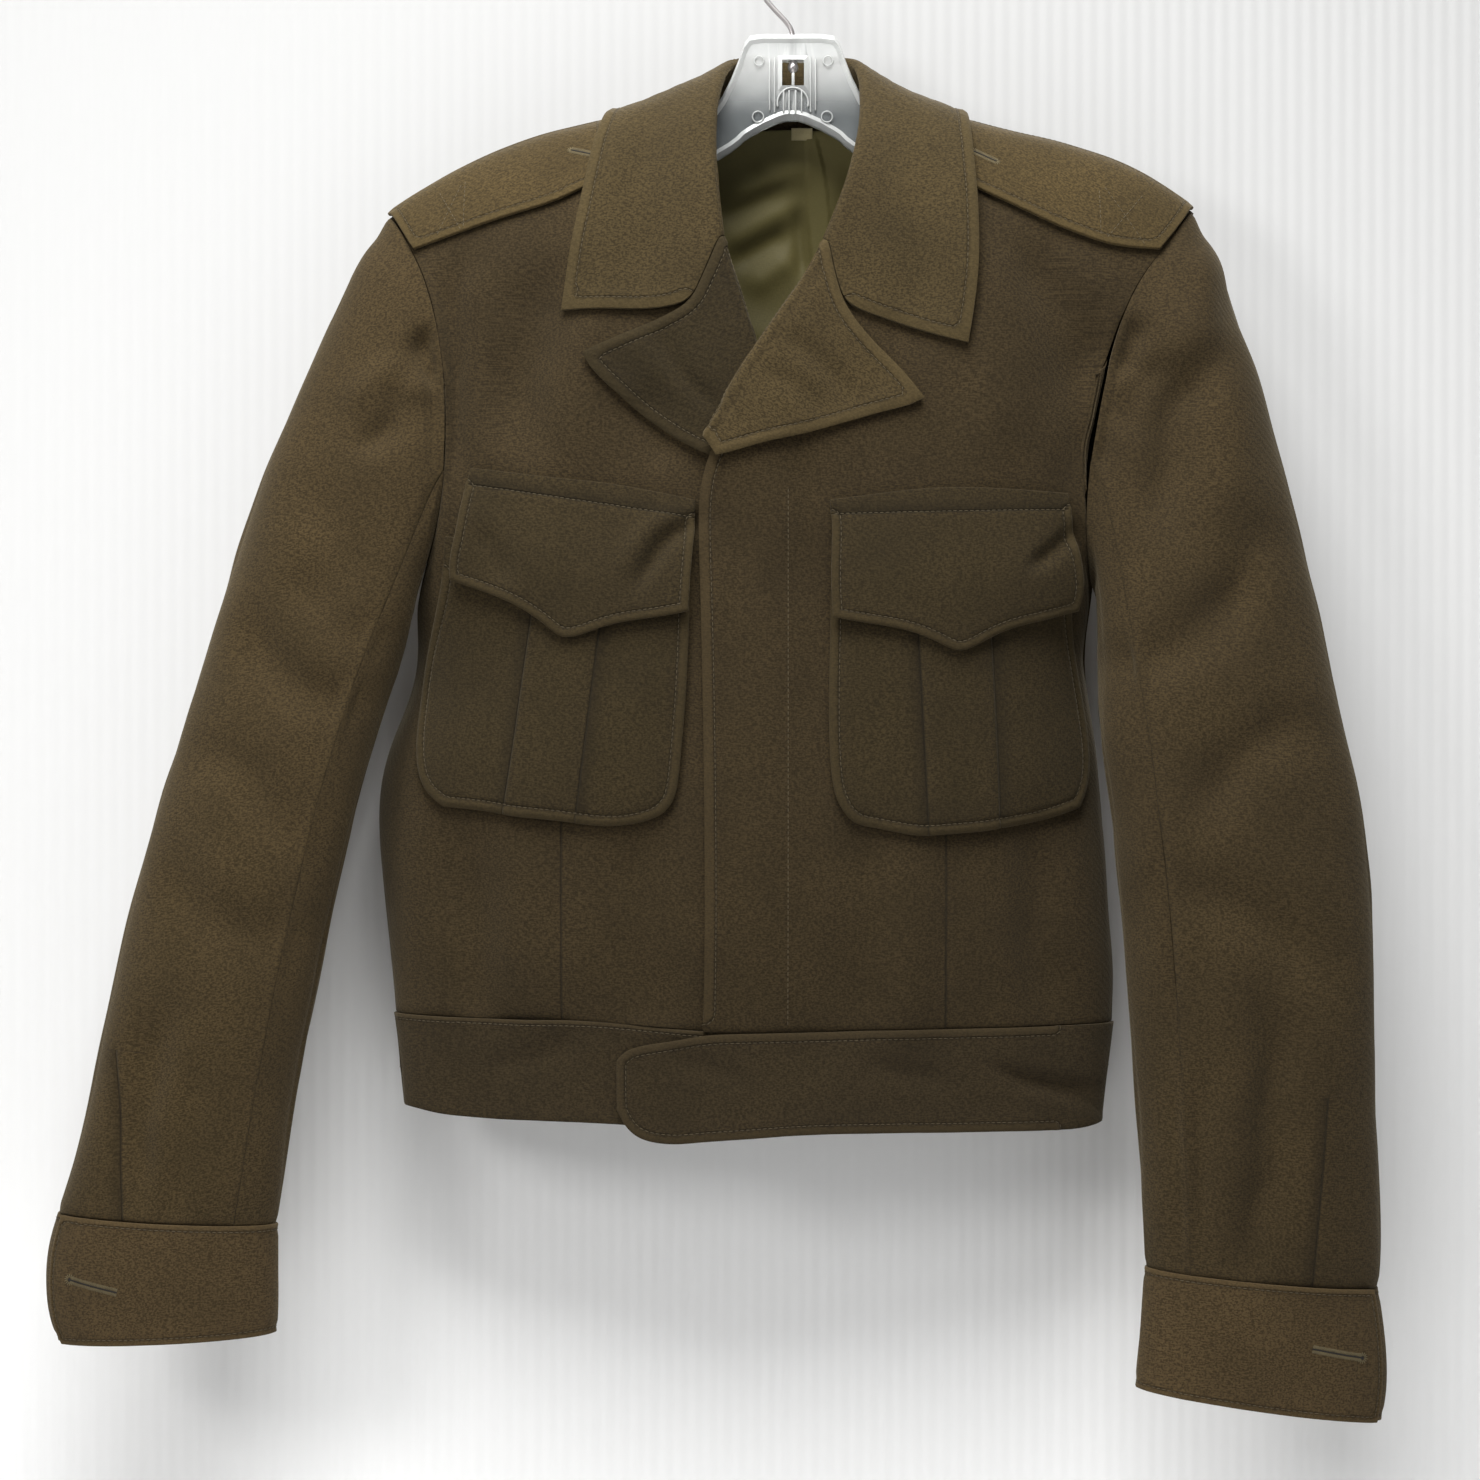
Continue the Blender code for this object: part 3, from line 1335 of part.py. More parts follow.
def hanger():
    """The plastic hanger: a neck with a slot for the hook and two arms inside the shoulders."""
    rows = [(-x, top, foot) for x, top, foot in HANGER[:0:-1]] + HANGER
    data = bmesh.new()
    rings = []
    for x, top, foot in rows:
        thick = pick(HANGER_THICK, abs(x))[0]
        y_mid = 1.0 - 8.0 * ease((abs(x) - 44) / 60)
        round_by = min(3.0, (top - foot) / 4)
        ring = []
        for y, z in ((-thick * 0.5, top), (thick * 0.5, top), (thick, top - round_by),
                     (thick, foot + round_by), (thick * 0.5, foot), (-thick * 0.5, foot),
                     (-thick, foot + round_by), (-thick, top - round_by)):
            ring.append(data.verts.new(Vector((x, y_mid + y, z)) * MM))
        rings.append(ring)
    for low, high in zip(rings, rings[1:]):
        for part in range(8):
            nxt = (part + 1) % 8
            data.faces.new([low[part], low[nxt], high[nxt], high[part]])
    data.faces.new(rings[0][::-1])
    data.faces.new(rings[-1])
    bmesh.ops.recalc_face_normals(data, faces=data.faces[:])
    piece = keep(data, "hanger", (0.75, 0.77, 0.76), 0.12)
    tools = []
    for size, place in (SLOT, BORE):
        cutter_data = bmesh.new()
        bmesh.ops.create_cube(cutter_data, size=1.0)
        for vert in cutter_data.verts:
            vert.co = Vector((vert.co.x * size[0] + place[0], vert.co.y * size[1] + place[1],
                              vert.co.z * size[2] + place[2])) * MM
        mesh = bpy.data.meshes.new("cutter")
        cutter_data.to_mesh(mesh)
        cutter_data.free()
        tool = bpy.data.objects.new("cutter_slot" if len(tools) == 0 else "cutter_bore", mesh)
        cutters.objects.link(tool)
        tool.hide_render = True
        tool.display_type = "WIRE"
        tools.append(tool)
    for tool in tools:
        cut = piece.modifiers.new(tool.name, "BOOLEAN")
        cut.operation = "DIFFERENCE"
        cut.solver = "EXACT"
        cut.object = tool
    return piece


hook()
hanger()
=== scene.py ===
# %% [markdown]
# A short wool jacket hangs on a clear plastic hanger, seen from the front. The frame brings its
# solids: flat-faced walls of cloth at their true places. This file gives each of them a finer
# surface, its seams, stitches and creases, and the look of brushed wool. Lengths in the tables
# are in millimetres, from the top of the hook's inner curve, with Z up and the front toward -Y.

# %% Frame
import math
import bpy
import bmesh
from mathutils import Vector, Matrix, noise
from mathutils.bvhtree import BVHTree
from mathutils.kdtree import KDTree


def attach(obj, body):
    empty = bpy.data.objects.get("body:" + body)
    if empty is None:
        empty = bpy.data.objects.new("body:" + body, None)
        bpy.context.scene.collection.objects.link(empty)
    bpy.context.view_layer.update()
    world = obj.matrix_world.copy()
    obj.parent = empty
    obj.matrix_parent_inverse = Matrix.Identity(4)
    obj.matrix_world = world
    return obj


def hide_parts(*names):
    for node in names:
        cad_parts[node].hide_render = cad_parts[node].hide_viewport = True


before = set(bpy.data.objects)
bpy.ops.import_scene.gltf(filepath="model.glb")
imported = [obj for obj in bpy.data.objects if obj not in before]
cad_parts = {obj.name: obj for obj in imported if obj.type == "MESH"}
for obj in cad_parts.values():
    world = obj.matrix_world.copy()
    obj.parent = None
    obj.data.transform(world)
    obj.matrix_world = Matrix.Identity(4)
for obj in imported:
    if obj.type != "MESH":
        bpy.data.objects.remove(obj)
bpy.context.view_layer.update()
MM = 0.001
scene = bpy.context.scene
scene.view_settings.view_transform = "Standard"
print("solids:", len(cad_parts))

# %% [markdown]
# The camera comes first, because every later look depends on it. The photo is square and was
# taken level with the middle of the jacket, from 1.8 m away. A wide light overhead does most of
# the work: the shoulders are twice as bright as the hem. A lamp on each side draws the soft
# shadows of the sleeves on the wall, and one behind is there for the views of the back.

# %% Camera and lights
VIEW_MIDDLE = Vector((-28.3, 0, -460.5)) * MM
VIEW_DISTANCE = 1.8
VIEW_WIDTH = 0.8066
MIDDLE_OF_LIGHT = Vector((-20, 0, -400)) * MM


def add_camera():
    """The camera that sees what the photo shows."""
    bpy.ops.object.camera_add(location=VIEW_MIDDLE - Vector((0, VIEW_DISTANCE, 0)),
                              rotation=(math.radians(90), 0, 0))
    camera = bpy.context.object
    camera.data.sensor_fit = "HORIZONTAL"
    camera.data.angle = 2 * math.atan(VIEW_WIDTH / 2 / VIEW_DISTANCE)
    scene.camera = camera


def add_light(name, place, size, power, colour):
    """A square soft light that looks at the jacket."""
    bpy.ops.object.light_add(type="AREA", location=place)
    light = bpy.context.object
    light.name = name
    light.data.size = size
    light.data.energy = power
    light.data.color = colour
    light.rotation_euler = (MIDDLE_OF_LIGHT - light.location).to_track_quat("-Z", "Y").to_euler()


add_camera()
add_light("key", (-1.35, -1.5, 0.15), 0.5, 14.5, (1.0, 0.99, 0.98))
add_light("fill", (1.4, -1.5, -0.2), 0.8, 1.5, (1.0, 1.0, 1.0))
add_light("top", (-0.15, -0.85, 1.05), 1.0, 65, (1.0, 1.0, 0.99))
add_light("behind", (0.2, 1.9, 0.9), 1.6, 60, (1.0, 1.0, 1.0))
world = bpy.data.worlds.new("studio")
scene.world = world
world.use_nodes = True
world.node_tree.nodes["Background"].inputs["Color"].default_value = (0.98, 0.99, 1.0, 1)
world.node_tree.nodes["Background"].inputs["Strength"].default_value = 0.18

# %% [markdown]
# Small helpers. Each operator acts on what is selected, so one helper selects a single piece and
# the others begin with it. The last one fades a value in softly between 0 and 1.

# %% Helpers
SAME_POINT = 0.00001
CLOTH_QUADS = (45, 75)   # angles within which two triangles are joined: how flat, how square
PLAIN_QUADS = (40, 80)


def only(piece):
    """Selects one object alone and makes it the active one."""
    bpy.ops.object.select_all(action="DESELECT")
    piece.select_set(True)
    bpy.context.view_layer.objects.active = piece


def finish_modifier(piece, name):
    """Applies one modifier of a piece."""
    only(piece)
    bpy.ops.object.modifier_apply(modifier=name)


def copy_of(node, name, material):
    """A copy of a solid with one material."""
    mesh = bpy.data.objects[node].data.copy()
    mesh.materials.clear()
    mesh.materials.append(material)
    piece = bpy.data.objects.new(name, mesh)
    scene.collection.objects.link(piece)
    return piece


def edit_all(piece):
    """Opens a piece for editing, with all of it selected."""
    only(piece)
    bpy.ops.object.mode_set(mode="EDIT")
    bpy.ops.mesh.select_mode(type="FACE")
    bpy.ops.mesh.select_all(action="SELECT")


def merge_to_quads(piece, flatness, squareness):
    """Merges a piece's points and joins its triangles to four-sided faces, within two angles in
    degrees. It leaves the piece open for editing."""
    edit_all(piece)
    bpy.ops.mesh.remove_doubles(threshold=SAME_POINT)
    bpy.ops.mesh.tris_convert_to_quads(face_threshold=math.radians(flatness),
                                       shape_threshold=math.radians(squareness))


def join(parts):
    """Joins some objects into the first of them."""
    only(parts[0])
    for part in parts:
        part.select_set(True)
    bpy.ops.object.join()
    return parts[0]


def refine(piece, levels):
    """Rounds a piece with a subdivision surface."""
    rounder = piece.modifiers.new("rounder", "SUBSURF")
    rounder.levels = levels
    rounder.render_levels = levels
    rounder.boundary_smooth = "PRESERVE_CORNERS"
    finish_modifier(piece, "rounder")


def roll_edges(piece, width, segments, angle, smooth):
    """Rolls the edges that turn by more than an angle, by a width in millimetres, and shades the
    piece smooth over all that turn by less than another one."""
    roll = piece.modifiers.new("roll", "BEVEL")
    roll.width = width * MM
    roll.segments = segments
    roll.limit_method = "ANGLE"
    roll.angle_limit = math.radians(angle)
    finish_modifier(piece, "roll")
    bpy.ops.object.shade_smooth_by_angle(angle=math.radians(smooth))


def soft(value):
    """A soft step from 0 to 1."""
    value = min(max(value, 0.0), 1.0)
    return value * value * (3 - 2 * value)


# %% [markdown]
# Every material is built from a few kinds of shader nodes. These helpers add one each, so that a
# material reads as the sums and blends that it is made of.

# %% Material helpers


def new_material(name, **inputs):
    """A material with its node tree and shader. Inputs are named with _ for each space."""
    made = bpy.data.materials.new(name)
    made.use_nodes = True
    shader = made.node_tree.nodes["Principled BSDF"]
    for key, value in inputs.items():
        shader.inputs[key.replace("_", " ")].default_value = value
    return made, made.node_tree, shader


def times(colour, share):
    """A colour made darker or lighter."""
    return tuple(value * share for value in colour)


def node_of(tree, kind, **values):
    """Adds a shader node and sets its plain values."""
    made = tree.nodes.new(kind)
    for key, value in values.items():
        setattr(made, key, value)
    return made


def maths(tree, kind, first, second=None, clamp=False):
    """A maths node: each input is a number or another node's output."""
    made = node_of(tree, "ShaderNodeMath", operation=kind, use_clamp=clamp)
    for slot, value in enumerate((first, second)):
        if value is None:
            continue
        if isinstance(value, (int, float)):
            made.inputs[slot].default_value = value
        else:
            tree.links.new(value, made.inputs[slot])
    return made.outputs[0]


def speckle(tree, place, scale, detail=2.0):
    """A noise texture's value at a place."""
    made = node_of(tree, "ShaderNodeTexNoise")
    made.inputs["Scale"].default_value = scale
    made.inputs["Detail"].default_value = detail
    tree.links.new(place, made.inputs["Vector"])
    return made.outputs["Fac"]


def stretched(tree, place, scale):
    """A place with each of its directions scaled."""
    made = node_of(tree, "ShaderNodeMapping")
    made.inputs["Scale"].default_value = scale
    tree.links.new(place, made.inputs["Vector"])
    return made.outputs[0]


def near_line(tree, name, width):
    """1 on a line that a point value measures the distance to, fading to 0 at a width."""
    share = maths(tree, "DIVIDE", maths(tree, "ABSOLUTE", point_value(tree, name)), width)
    return maths(tree, "SUBTRACT", 1.0, share, clamp=True)


def blend(tree, amount, first, second):
    """A mix of two colours. Each is a colour or another node's output."""
    made = node_of(tree, "ShaderNodeMix", data_type="RGBA")
    tree.links.new(amount, made.inputs["Factor"])
    for slot, value in ((6, first), (7, second)):
        if isinstance(value, tuple):
            made.inputs[slot].default_value = (*value, 1)
        else:
            tree.links.new(value, made.inputs[slot])
    return made.outputs[2]


def bump(tree, height, distance, under=None):
    """A bump node on top of another one."""
    made = node_of(tree, "ShaderNodeBump")
    made.inputs["Strength"].default_value = 1.0
    made.inputs["Distance"].default_value = distance
    tree.links.new(height, made.inputs["Height"])
    if under:
        tree.links.new(under, made.inputs["Normal"])
    return made.outputs[0]


def point_value(tree, name):
    """A number that each point of a piece carries."""
    return node_of(tree, "ShaderNodeAttribute", attribute_name=name).outputs["Fac"]


def true_place(tree):
    """The place of a point, in metres."""
    return node_of(tree, "ShaderNodeTexCoord").outputs["Object"]


def by_height(tree, place, heights, values, **kind):
    """A value that goes from one number to another between two heights."""
    apart = node_of(tree, "ShaderNodeSeparateXYZ")
    tree.links.new(place, apart.inputs[0])
    change = node_of(tree, "ShaderNodeMapRange", **kind)
    for key, value in zip(("From Min", "From Max", "To Min", "To Max"), (*heights, *values)):
        change.inputs[key].default_value = value
    tree.links.new(apart.outputs[2], change.inputs["Value"])
    return change.outputs[0]


# %% [markdown]
# The jacket hangs close in front of a wall of white ribbed board, which gives it its soft
# shadows. Behind the camera's back there is only a pale floor. The board is one-sided: it stops
# no light that comes from behind it and isn't seen from there, so that the back of the jacket
# can be looked at as well.

# %% Floor and wall
FLOOR_LEVEL = -1.25
WALL_PLACE = 0.052
RIB_PITCH = 0.0082
RIB_HEIGHT = 0.0002


def stage_plane(name, size, place, turn):
    """A large flat piece of the stage."""
    bpy.ops.mesh.primitive_plane_add(size=size, location=place, rotation=turn)
    plane = bpy.context.object
    plane.name = name
    only(plane)
    bpy.ops.object.transform_apply(location=True, rotation=True)
    paint, tree, shader = new_material(name)
    plane.data.materials.append(paint)
    return tree, shader


def ribbed_board(tree, shader):
    """White ribbed board that is seen from its front alone. It is painted darker toward its top,
    because the photo's wall is as bright there as at its foot, though the light is stronger."""
    place = true_place(tree)
    ribs = node_of(tree, "ShaderNodeTexWave", bands_direction="X")
    ribs.inputs["Scale"].default_value = math.pi / RIB_PITCH / 10
    tree.links.new(place, ribs.inputs["Vector"])
    tree.links.new(by_height(tree, place, (-0.9, 0.05), (0.76, 0.335)),
                   shader.inputs["Base Color"])
    tree.links.new(bump(tree, ribs.outputs["Fac"], RIB_HEIGHT), shader.inputs["Normal"])
    shader.inputs["Roughness"].default_value = 0.55
    behind = node_of(tree, "ShaderNodeNewGeometry").outputs["Backfacing"]
    shadow = node_of(tree, "ShaderNodeLightPath").outputs["Is Shadow Ray"]
    mixed = node_of(tree, "ShaderNodeMixShader")
    tree.links.new(maths(tree, "MAXIMUM", behind, shadow), mixed.inputs[0])
    tree.links.new(shader.outputs[0], mixed.inputs[1])
    tree.links.new(node_of(tree, "ShaderNodeBsdfTransparent").outputs[0], mixed.inputs[2])
    tree.links.new(mixed.outputs[0], tree.nodes["Material Output"].inputs["Surface"])


_, floor = stage_plane("studio_floor", 12, (0, 0, FLOOR_LEVEL), (0, 0, 0))
floor.inputs["Base Color"].default_value = (0.78, 0.78, 0.78, 1)
floor.inputs["Roughness"].default_value = 0.9
ribbed_board(*stage_plane("ribbed_board", 6, (0, WALL_PLACE, FLOOR_LEVEL + 3),
                          (math.radians(90), 0, 0)))
print("floor and wall")

# %% [markdown]
# Creases. On the real jacket they come from how it hangs: the sleeve heads dimple, the chest
# falls from the shoulder loops, and the sleeves break softly at the elbows. A cloth simulation
# would lose the sewn form, so each crease is placed one by one as a soft trough or ridge: where it
# starts and ends, how far its middle bows sideways, its half width and its depth.

# %% Creases
FRONT_CREASES = [
    # x0, z0, x1, z1, bow, half_width, depth
    (-199, -246, -193, -268, 2, 8, -2.2),
    (-203, -279, -226, -303, -3, 9, -1.9),
    (-214, -262, -236, -280, 0, 9, 1.1),
    (-196, -262, -207, -290, 0, 7, 1.0),
    (-132, -222, -147, -292, 5, 17, -2.0),
    (-106, -232, -112, -300, 0, 18, 1.0),
    (-81, -280, -71, -310, 0, 9, -1.0),
    (-178, -214, -183, -305, 4, 11, -1.8),
    (-172, -520, -166, -600, 0, 15, -1.3),
    (-146, -512, -140, -600, 0, 16, 0.9),
    (-81, -512, -74, -600, 4, 18, -1.4),
    (35, -520, 29, -606, -4, 19, -1.1),
    (60, -512, 62, -606, 0, 15, 0.8),
    (131, -516, 137, -600, 3, 15, -1.5),
    (10, -300, 18, -420, 3, 14, -0.9),
    (-22, -300, -18, -560, -5, 16, 0.7),
    (128, -204, 147, -272, -4, 14, -2.2),
    (104, -212, 112, -300, 0, 16, 0.9),
    (160, -240, 154, -315, 0, 12, -1.7),
    (184, -240, 174, -262, 0, 8, -2.0),
    (190, -262, 178, -292, 3, 9, -1.5),
    (220, -202, 210, -256, 0, 14, 2.0),
    (213, -266, 197, -336, 5, 15, -2.5),
    (236, -262, 222, -340, 0, 16, 1.2),
    (-334, -612, -343, -690, 3, 12, -2.2),
    (-316, -640, -322, -706, 0, 10, -1.2),
    (248, -610, 240, -720, -4, 12, -2.4),
    (214, -640, 208, -720, 0, 10, -1.2),
    (-289, -404, -243, -441, 5, 14, -1.9),
    (-262, -378, -228, -408, 0, 12, -1.1),
    (-311, -466, -262, -510, -5, 15, -1.7),
    (-322, -540, -276, -566, 4, 15, -1.4),
    (-250, -330, -236, -380, 0, 16, -1.1),
    (236, -382, 184, -420, -5, 14, -1.9),
    (264, -452, 214, -494, 5, 15, -1.9),
    (206, -540, 272, -580, -5, 15, -1.6),
    (250, -350, 232, -390, 0, 14, -1.0),
    (188, -510, 196, -590, 0, 11, 1.2),
    (-56, -346, -82, -374, 2, 5, -1.5),
    (-66, -344, -90, -366, 2, 6, 0.8),
    (148, -350, 130, -367, 0, 5, -1.3),
    (-168, -352, -150, -372, 0, 8, -0.8),
    (115, -637, 158, -648, 1, 4, -0.9),
    (122, -644, 160, -656, -1, 4, -0.6),
    (-124, -622, -158, -634, 0, 6, -0.7),
    (-60, -630, -30, -640, 0, 7, -0.6),
    (40, -634, 80, -642, 0, 6, -0.5),
    (-76, -130, -82, -218, 3, 13, -1.1),
    (-104, -150, -108, -214, 0, 11, 0.6),
    (59, -132, 71, -222, -3, 13, -1.1),
    (88, -160, 92, -216, 0, 10, 0.6),
    (-73, -243, -46, -281, 2, 5, -0.9),
    (-88, -250, -60, -276, 0, 6, 0.5),
    (2, -251, 31, -281, -2, 6, -0.8),
    (-10, -268, 16, -286, 0, 5, -0.6),
]
BACK_CREASES = [
    (-78, -210, -62, -330, 6, 20, -1.8),
    (64, -206, 50, -340, -6, 20, -1.6),
    (-168, -214, -176, -310, 0, 14, -1.8),
    (150, -212, 146, -310, 0, 14, -1.8),
    (-140, -300, -96, -420, 8, 18, -1.7),
    (112, -310, 70, -430, -8, 18, -1.8),
    (-60, -440, -66, -600, 4, 18, -1.5),
    (20, -430, 26, -600, -4, 19, -1.4),
    (-130, -500, -126, -600, 0, 15, -1.7),
    (92, -505, 98, -600, 0, 15, -1.5),
    (-20, -540, -22, -606, 0, 12, 1.2),
    (-230, -300, -212, -350, 0, 12, -1.8),
    (222, -290, 196, -350, 0, 12, -1.9),
    (-296, -392, -240, -436, 5, 14, -2.0),
    (-312, -470, -262, -500, -5, 14, -1.7),
    (-326, -560, -284, -590, 0, 13, -1.4),
    (264, -380, 196, -430, -5, 14, -2.0),
    (284, -470, 214, -506, 5, 14, -1.8),
    (206, -560, 270, -590, 0, 14, -1.4),
]
CREASE_DEPTH = 3.3       # how much deeper than in the tables the creases of the wool are
SLOW_WAVE = 1.3          # how far the broad waves of the cloth go, in millimetres
SHORT_WAVE = 0.8


def crease_push(x, z, creases):
    """How far the creases push the cloth out, in millimetres."""
    total = 0.0
    for x0, z0, x1, z1, bow, half, depth in creases:
        across_x = x1 - x0
        across_z = z1 - z0
        length = math.hypot(across_x, across_z)
        share = ((x - x0) * across_x + (z - z0) * across_z) / length ** 2
        if share < -0.4 or share > 1.4:
            continue
        away = ((x - x0) * across_z - (z - z0) * across_x) / length - bow * 4 * share * (1 - share)
        if abs(away) > 3 * half:
            continue
        fade = soft((share + 0.38) / 0.6) * soft((1.38 - share) / 0.6)
        total += depth * math.exp(-(away / half) ** 2) * fade
    return total


def hang_push(place, normal):
    """The whole soft relief at a point, in millimetres: creases and slow waves of the cloth."""
    x = place.x / MM
    z = place.z / MM
    front = soft(0.5 - normal.y * 1.4)
    wander = noise.noise(Vector((x, z, 7)) / 34) * 5
    push = front * crease_push(x + wander, z, FRONT_CREASES)
    push += (1 - front) * crease_push(x + wander, z, BACK_CREASES)
    push *= CREASE_DEPTH
    push += SLOW_WAVE * noise.noise(Vector((x / 62, z / 95, 3 * front)))
    push += SHORT_WAVE * noise.noise(Vector((x / 24, z / 40, 9 + 3 * front)))
    return push


LINING_FOLDS = [
    (-30, -158, 4, -145, 0, 8, 1.6),
    (-38, -170, -8, -158, 0, 6, -1.7),
    (-36, -185, -2, -166, 0, 7, 1.7),
    (-30, -195, -4, -181, 0, 6, -1.6),
    (-20, -208, -2, -195, 0, 7, 1.4),
    (4, -172, 6, -200, 0, 4, -1.8),
    (-44, -140, -20, -146, 0, 7, -1.0),
    (34, -150, 26, -190, 0, 6, -1.2),
    (-60, -220, 50, -240, 10, 12, 1.5),
]
PLEAT_EDGES = [
    # z, x of the left fold, x of the right fold
    (-126, 8.2, 12.9), (-144, 8.4, 17.6), (-158, 8.8, 20.0), (-172, 9.2, 21.4), (-189, 11.0, 22.5),
    (-240, 14.0, 25.0), (-340, 16.0, 27.0),
]
PLEAT_HEIGHT = 1.3
PLEAT_SLOPE = 0.9


def pleat_push(x, z):
    """How far the lining's pleat stands out, in millimetres."""
    for (high, left0, right0), (low, left1, right1) in zip(PLEAT_EDGES, PLEAT_EDGES[1:]):
        if low <= z <= high:
            share = (high - z) / (high - low)
            left = left0 + (left1 - left0) * share
            right = right0 + (right1 - right0) * share
            return (PLEAT_HEIGHT * soft((x - left) / PLEAT_SLOPE + 0.5)
                    * soft((right - x) / PLEAT_SLOPE + 0.5))
    return 0.0


print("creases:", len(FRONT_CREASES), "in front and", len(BACK_CREASES), "behind")

# %% [markdown]
# Wool. The cloth is a dense serge of brown and olive threads with short brushed fibres: it is
# matt, has a faint glow at grazing angles and looks slightly streaked along its weft. The map of
# each piece follows the cloth, so the streaks and the fine diagonal of the twill do too. Four
# numbers on each point, the distances to the edge, to the nearest row of stitches, to the nearest
# sewn line and to a fold, let the material sink the stitches, darken the seams, paint a shadow on
# one side of a fold, and lighten the welt between an edge and its row, both as rubbed wear and as
# a painted highlight of its raised top.

# %% Wool material
WEAVE_CONTRAST = 3.2     # how strongly single threads and fibres differ
RIM_WIDTH_SEEN = 1.6     # half widths of the darkened lines, in millimetres
ROW_WIDTH_SEEN = 1.1
SEAM_WIDTH_SEEN = 1.0
FOLD_SHADOW_WIDTH = 8.0
LINE_SHADE = 0.34        # the wool's colour in the depth of a seam, and in the painted shadow beside a fold
WELT_WEAR_AND_HIGHLIGHT = 1.75        # and on a welt, as rubbed wear and as a painted highlight of its raised top


def wool(name, colour):
    """Brushed wool serge of one shade."""
    made, tree, shader = new_material(
        name, Roughness=0.92, Specular_IOR_Level=0.14, Sheen_Weight=0.07, Sheen_Roughness=0.5,
        Sheen_Tint=(1.0, 0.84, 0.56, 1))
    weave = node_of(tree, "ShaderNodeUVMap", uv_map="weave").outputs[0]
    place = true_place(tree)
    threads = speckle(tree, stretched(tree, weave, (430, 1500, 1)), 1.0, 3.0)
    warp = speckle(tree, stretched(tree, weave, (1700, 500, 1)), 1.0, 2.0)
    mottle = speckle(tree, place, 24, 4.0)
    grain = speckle(tree, place, 900, 2.0)
    dark = times(colour, 0.48)
    light = times(colour, 1.60)
    warm = (light[0] * 1.08, light[1] * 0.98, light[2] * 0.86)
    seam_and_shadow_colour = times(colour, LINE_SHADE)
    both = maths(tree, "ADD", maths(tree, "MULTIPLY", threads, WEAVE_CONTRAST),
                 maths(tree, "MULTIPLY", grain, WEAVE_CONTRAST))
    contrast = maths(tree, "ADD", both, 0.5 - WEAVE_CONTRAST, clamp=True)
    shade = blend(tree, contrast, dark, light)
    shade = blend(tree, maths(tree, "MULTIPLY", warp, 0.34), shade, warm)
    shade = blend(tree, maths(tree, "MULTIPLY", maths(tree, "SUBTRACT", mottle, 0.35, clamp=True),
                              0.9, clamp=True), shade, dark)
    edge = near_line(tree, "rim", RIM_WIDTH_SEEN)
    stitched = near_line(tree, "stitch", ROW_WIDTH_SEEN)
    seam = near_line(tree, "seam", SEAM_WIDTH_SEEN)
    lines = maths(tree, "MAXIMUM", maths(tree, "MULTIPLY", stitched, 0.42),
                  maths(tree, "MULTIPLY", seam, 0.75))
    lines = maths(tree, "MAXIMUM", lines, maths(tree, "MULTIPLY", edge, 0.12))
    shade = blend(tree, lines, shade, seam_and_shadow_colour)
    # Painted shadow: the wool is darkened on the positive side of a fold line, as if the fold
    # shaded it.
    fold_shadow_side = maths(tree, "MULTIPLY", maths(tree, "GREATER_THAN", point_value(tree, "shadowed_fold"), 0.0),
                     near_line(tree, "shadowed_fold", FOLD_SHADOW_WIDTH))
    shade = blend(tree, maths(tree, "MULTIPLY", fold_shadow_side, 0.55), shade, seam_and_shadow_colour)
    # The welt between an edge and its row is lightened: partly rubbed wear, partly a painted
    # highlight where its raised top catches the light.
    welt_wear_and_highlight = maths(tree, "SUBTRACT", -0.8, point_value(tree, "stitch"), clamp=True)
    shade = blend(tree, maths(tree, "MULTIPLY", welt_wear_and_highlight, 0.45), shade, times(colour, WELT_WEAR_AND_HIGHLIGHT))
    tree.links.new(shade, shader.inputs["Base Color"])
    fuzz = speckle(tree, place, 1900, 2.0)
    diagonal = node_of(tree, "ShaderNodeTexWave", wave_type="BANDS", bands_direction="DIAGONAL")
    diagonal.inputs["Scale"].default_value = 130
    diagonal.inputs["Distortion"].default_value = 3.0
    diagonal.inputs["Detail"].default_value = 2.0
    diagonal.inputs["Detail Scale"].default_value = 2.0
    tree.links.new(weave, diagonal.inputs["Vector"])
    twill = maths(tree, "ADD", maths(tree, "MULTIPLY", diagonal.outputs["Fac"], 0.4),
                  maths(tree, "MULTIPLY", grain, 0.8))
    twill = maths(tree, "ADD", twill, maths(tree, "MULTIPLY", fuzz, 0.5))
    relief = bump(tree, twill, 0.00022)
    sunk = maths(tree, "MULTIPLY", maths(tree, "MAXIMUM", maths(tree, "POWER", stitched, 2.0),
                                         maths(tree, "POWER", seam, 2.0)), -1.0)
    relief = bump(tree, sunk, 0.00055, relief)
    pucker = speckle(tree, place, 210, 1.0)
    beside = near_line(tree, "stitch", 6.0)
    relief = bump(tree, maths(tree, "MULTIPLY", pucker, beside), 0.0007, relief)
    tree.links.new(relief, shader.inputs["Normal"])
    return made


SHADES = {
    "sleeve": (0.0322, 0.0220, 0.0089),
    # A darker copy of the sleeve's wool for the left sleeve: painted shade, for the side that gets
    # less light.
    "sleeve_left": (0.0268, 0.0184, 0.0076),
    "loop": (0.0390, 0.0270, 0.0102),
    "chest": (0.0240, 0.0165, 0.0069),
    "pocket": (0.0212, 0.0150, 0.0060),
    # A darker copy of the chest's wool for the right lapel: painted shade, where the lapel turns
    # away from the light.
    "lapel": (0.0165, 0.0118, 0.0047),
    "collar_right": (0.0335, 0.0239, 0.0096),
    "collar_left": (0.0350, 0.0248, 0.0100),
    "band": (0.0208, 0.0146, 0.0065),
    "cuff": (0.0395, 0.0266, 0.0115),
}
cloths = {name: wool("wool_" + name, colour) for name, colour in SHADES.items()}
print("wool shades:", len(cloths))
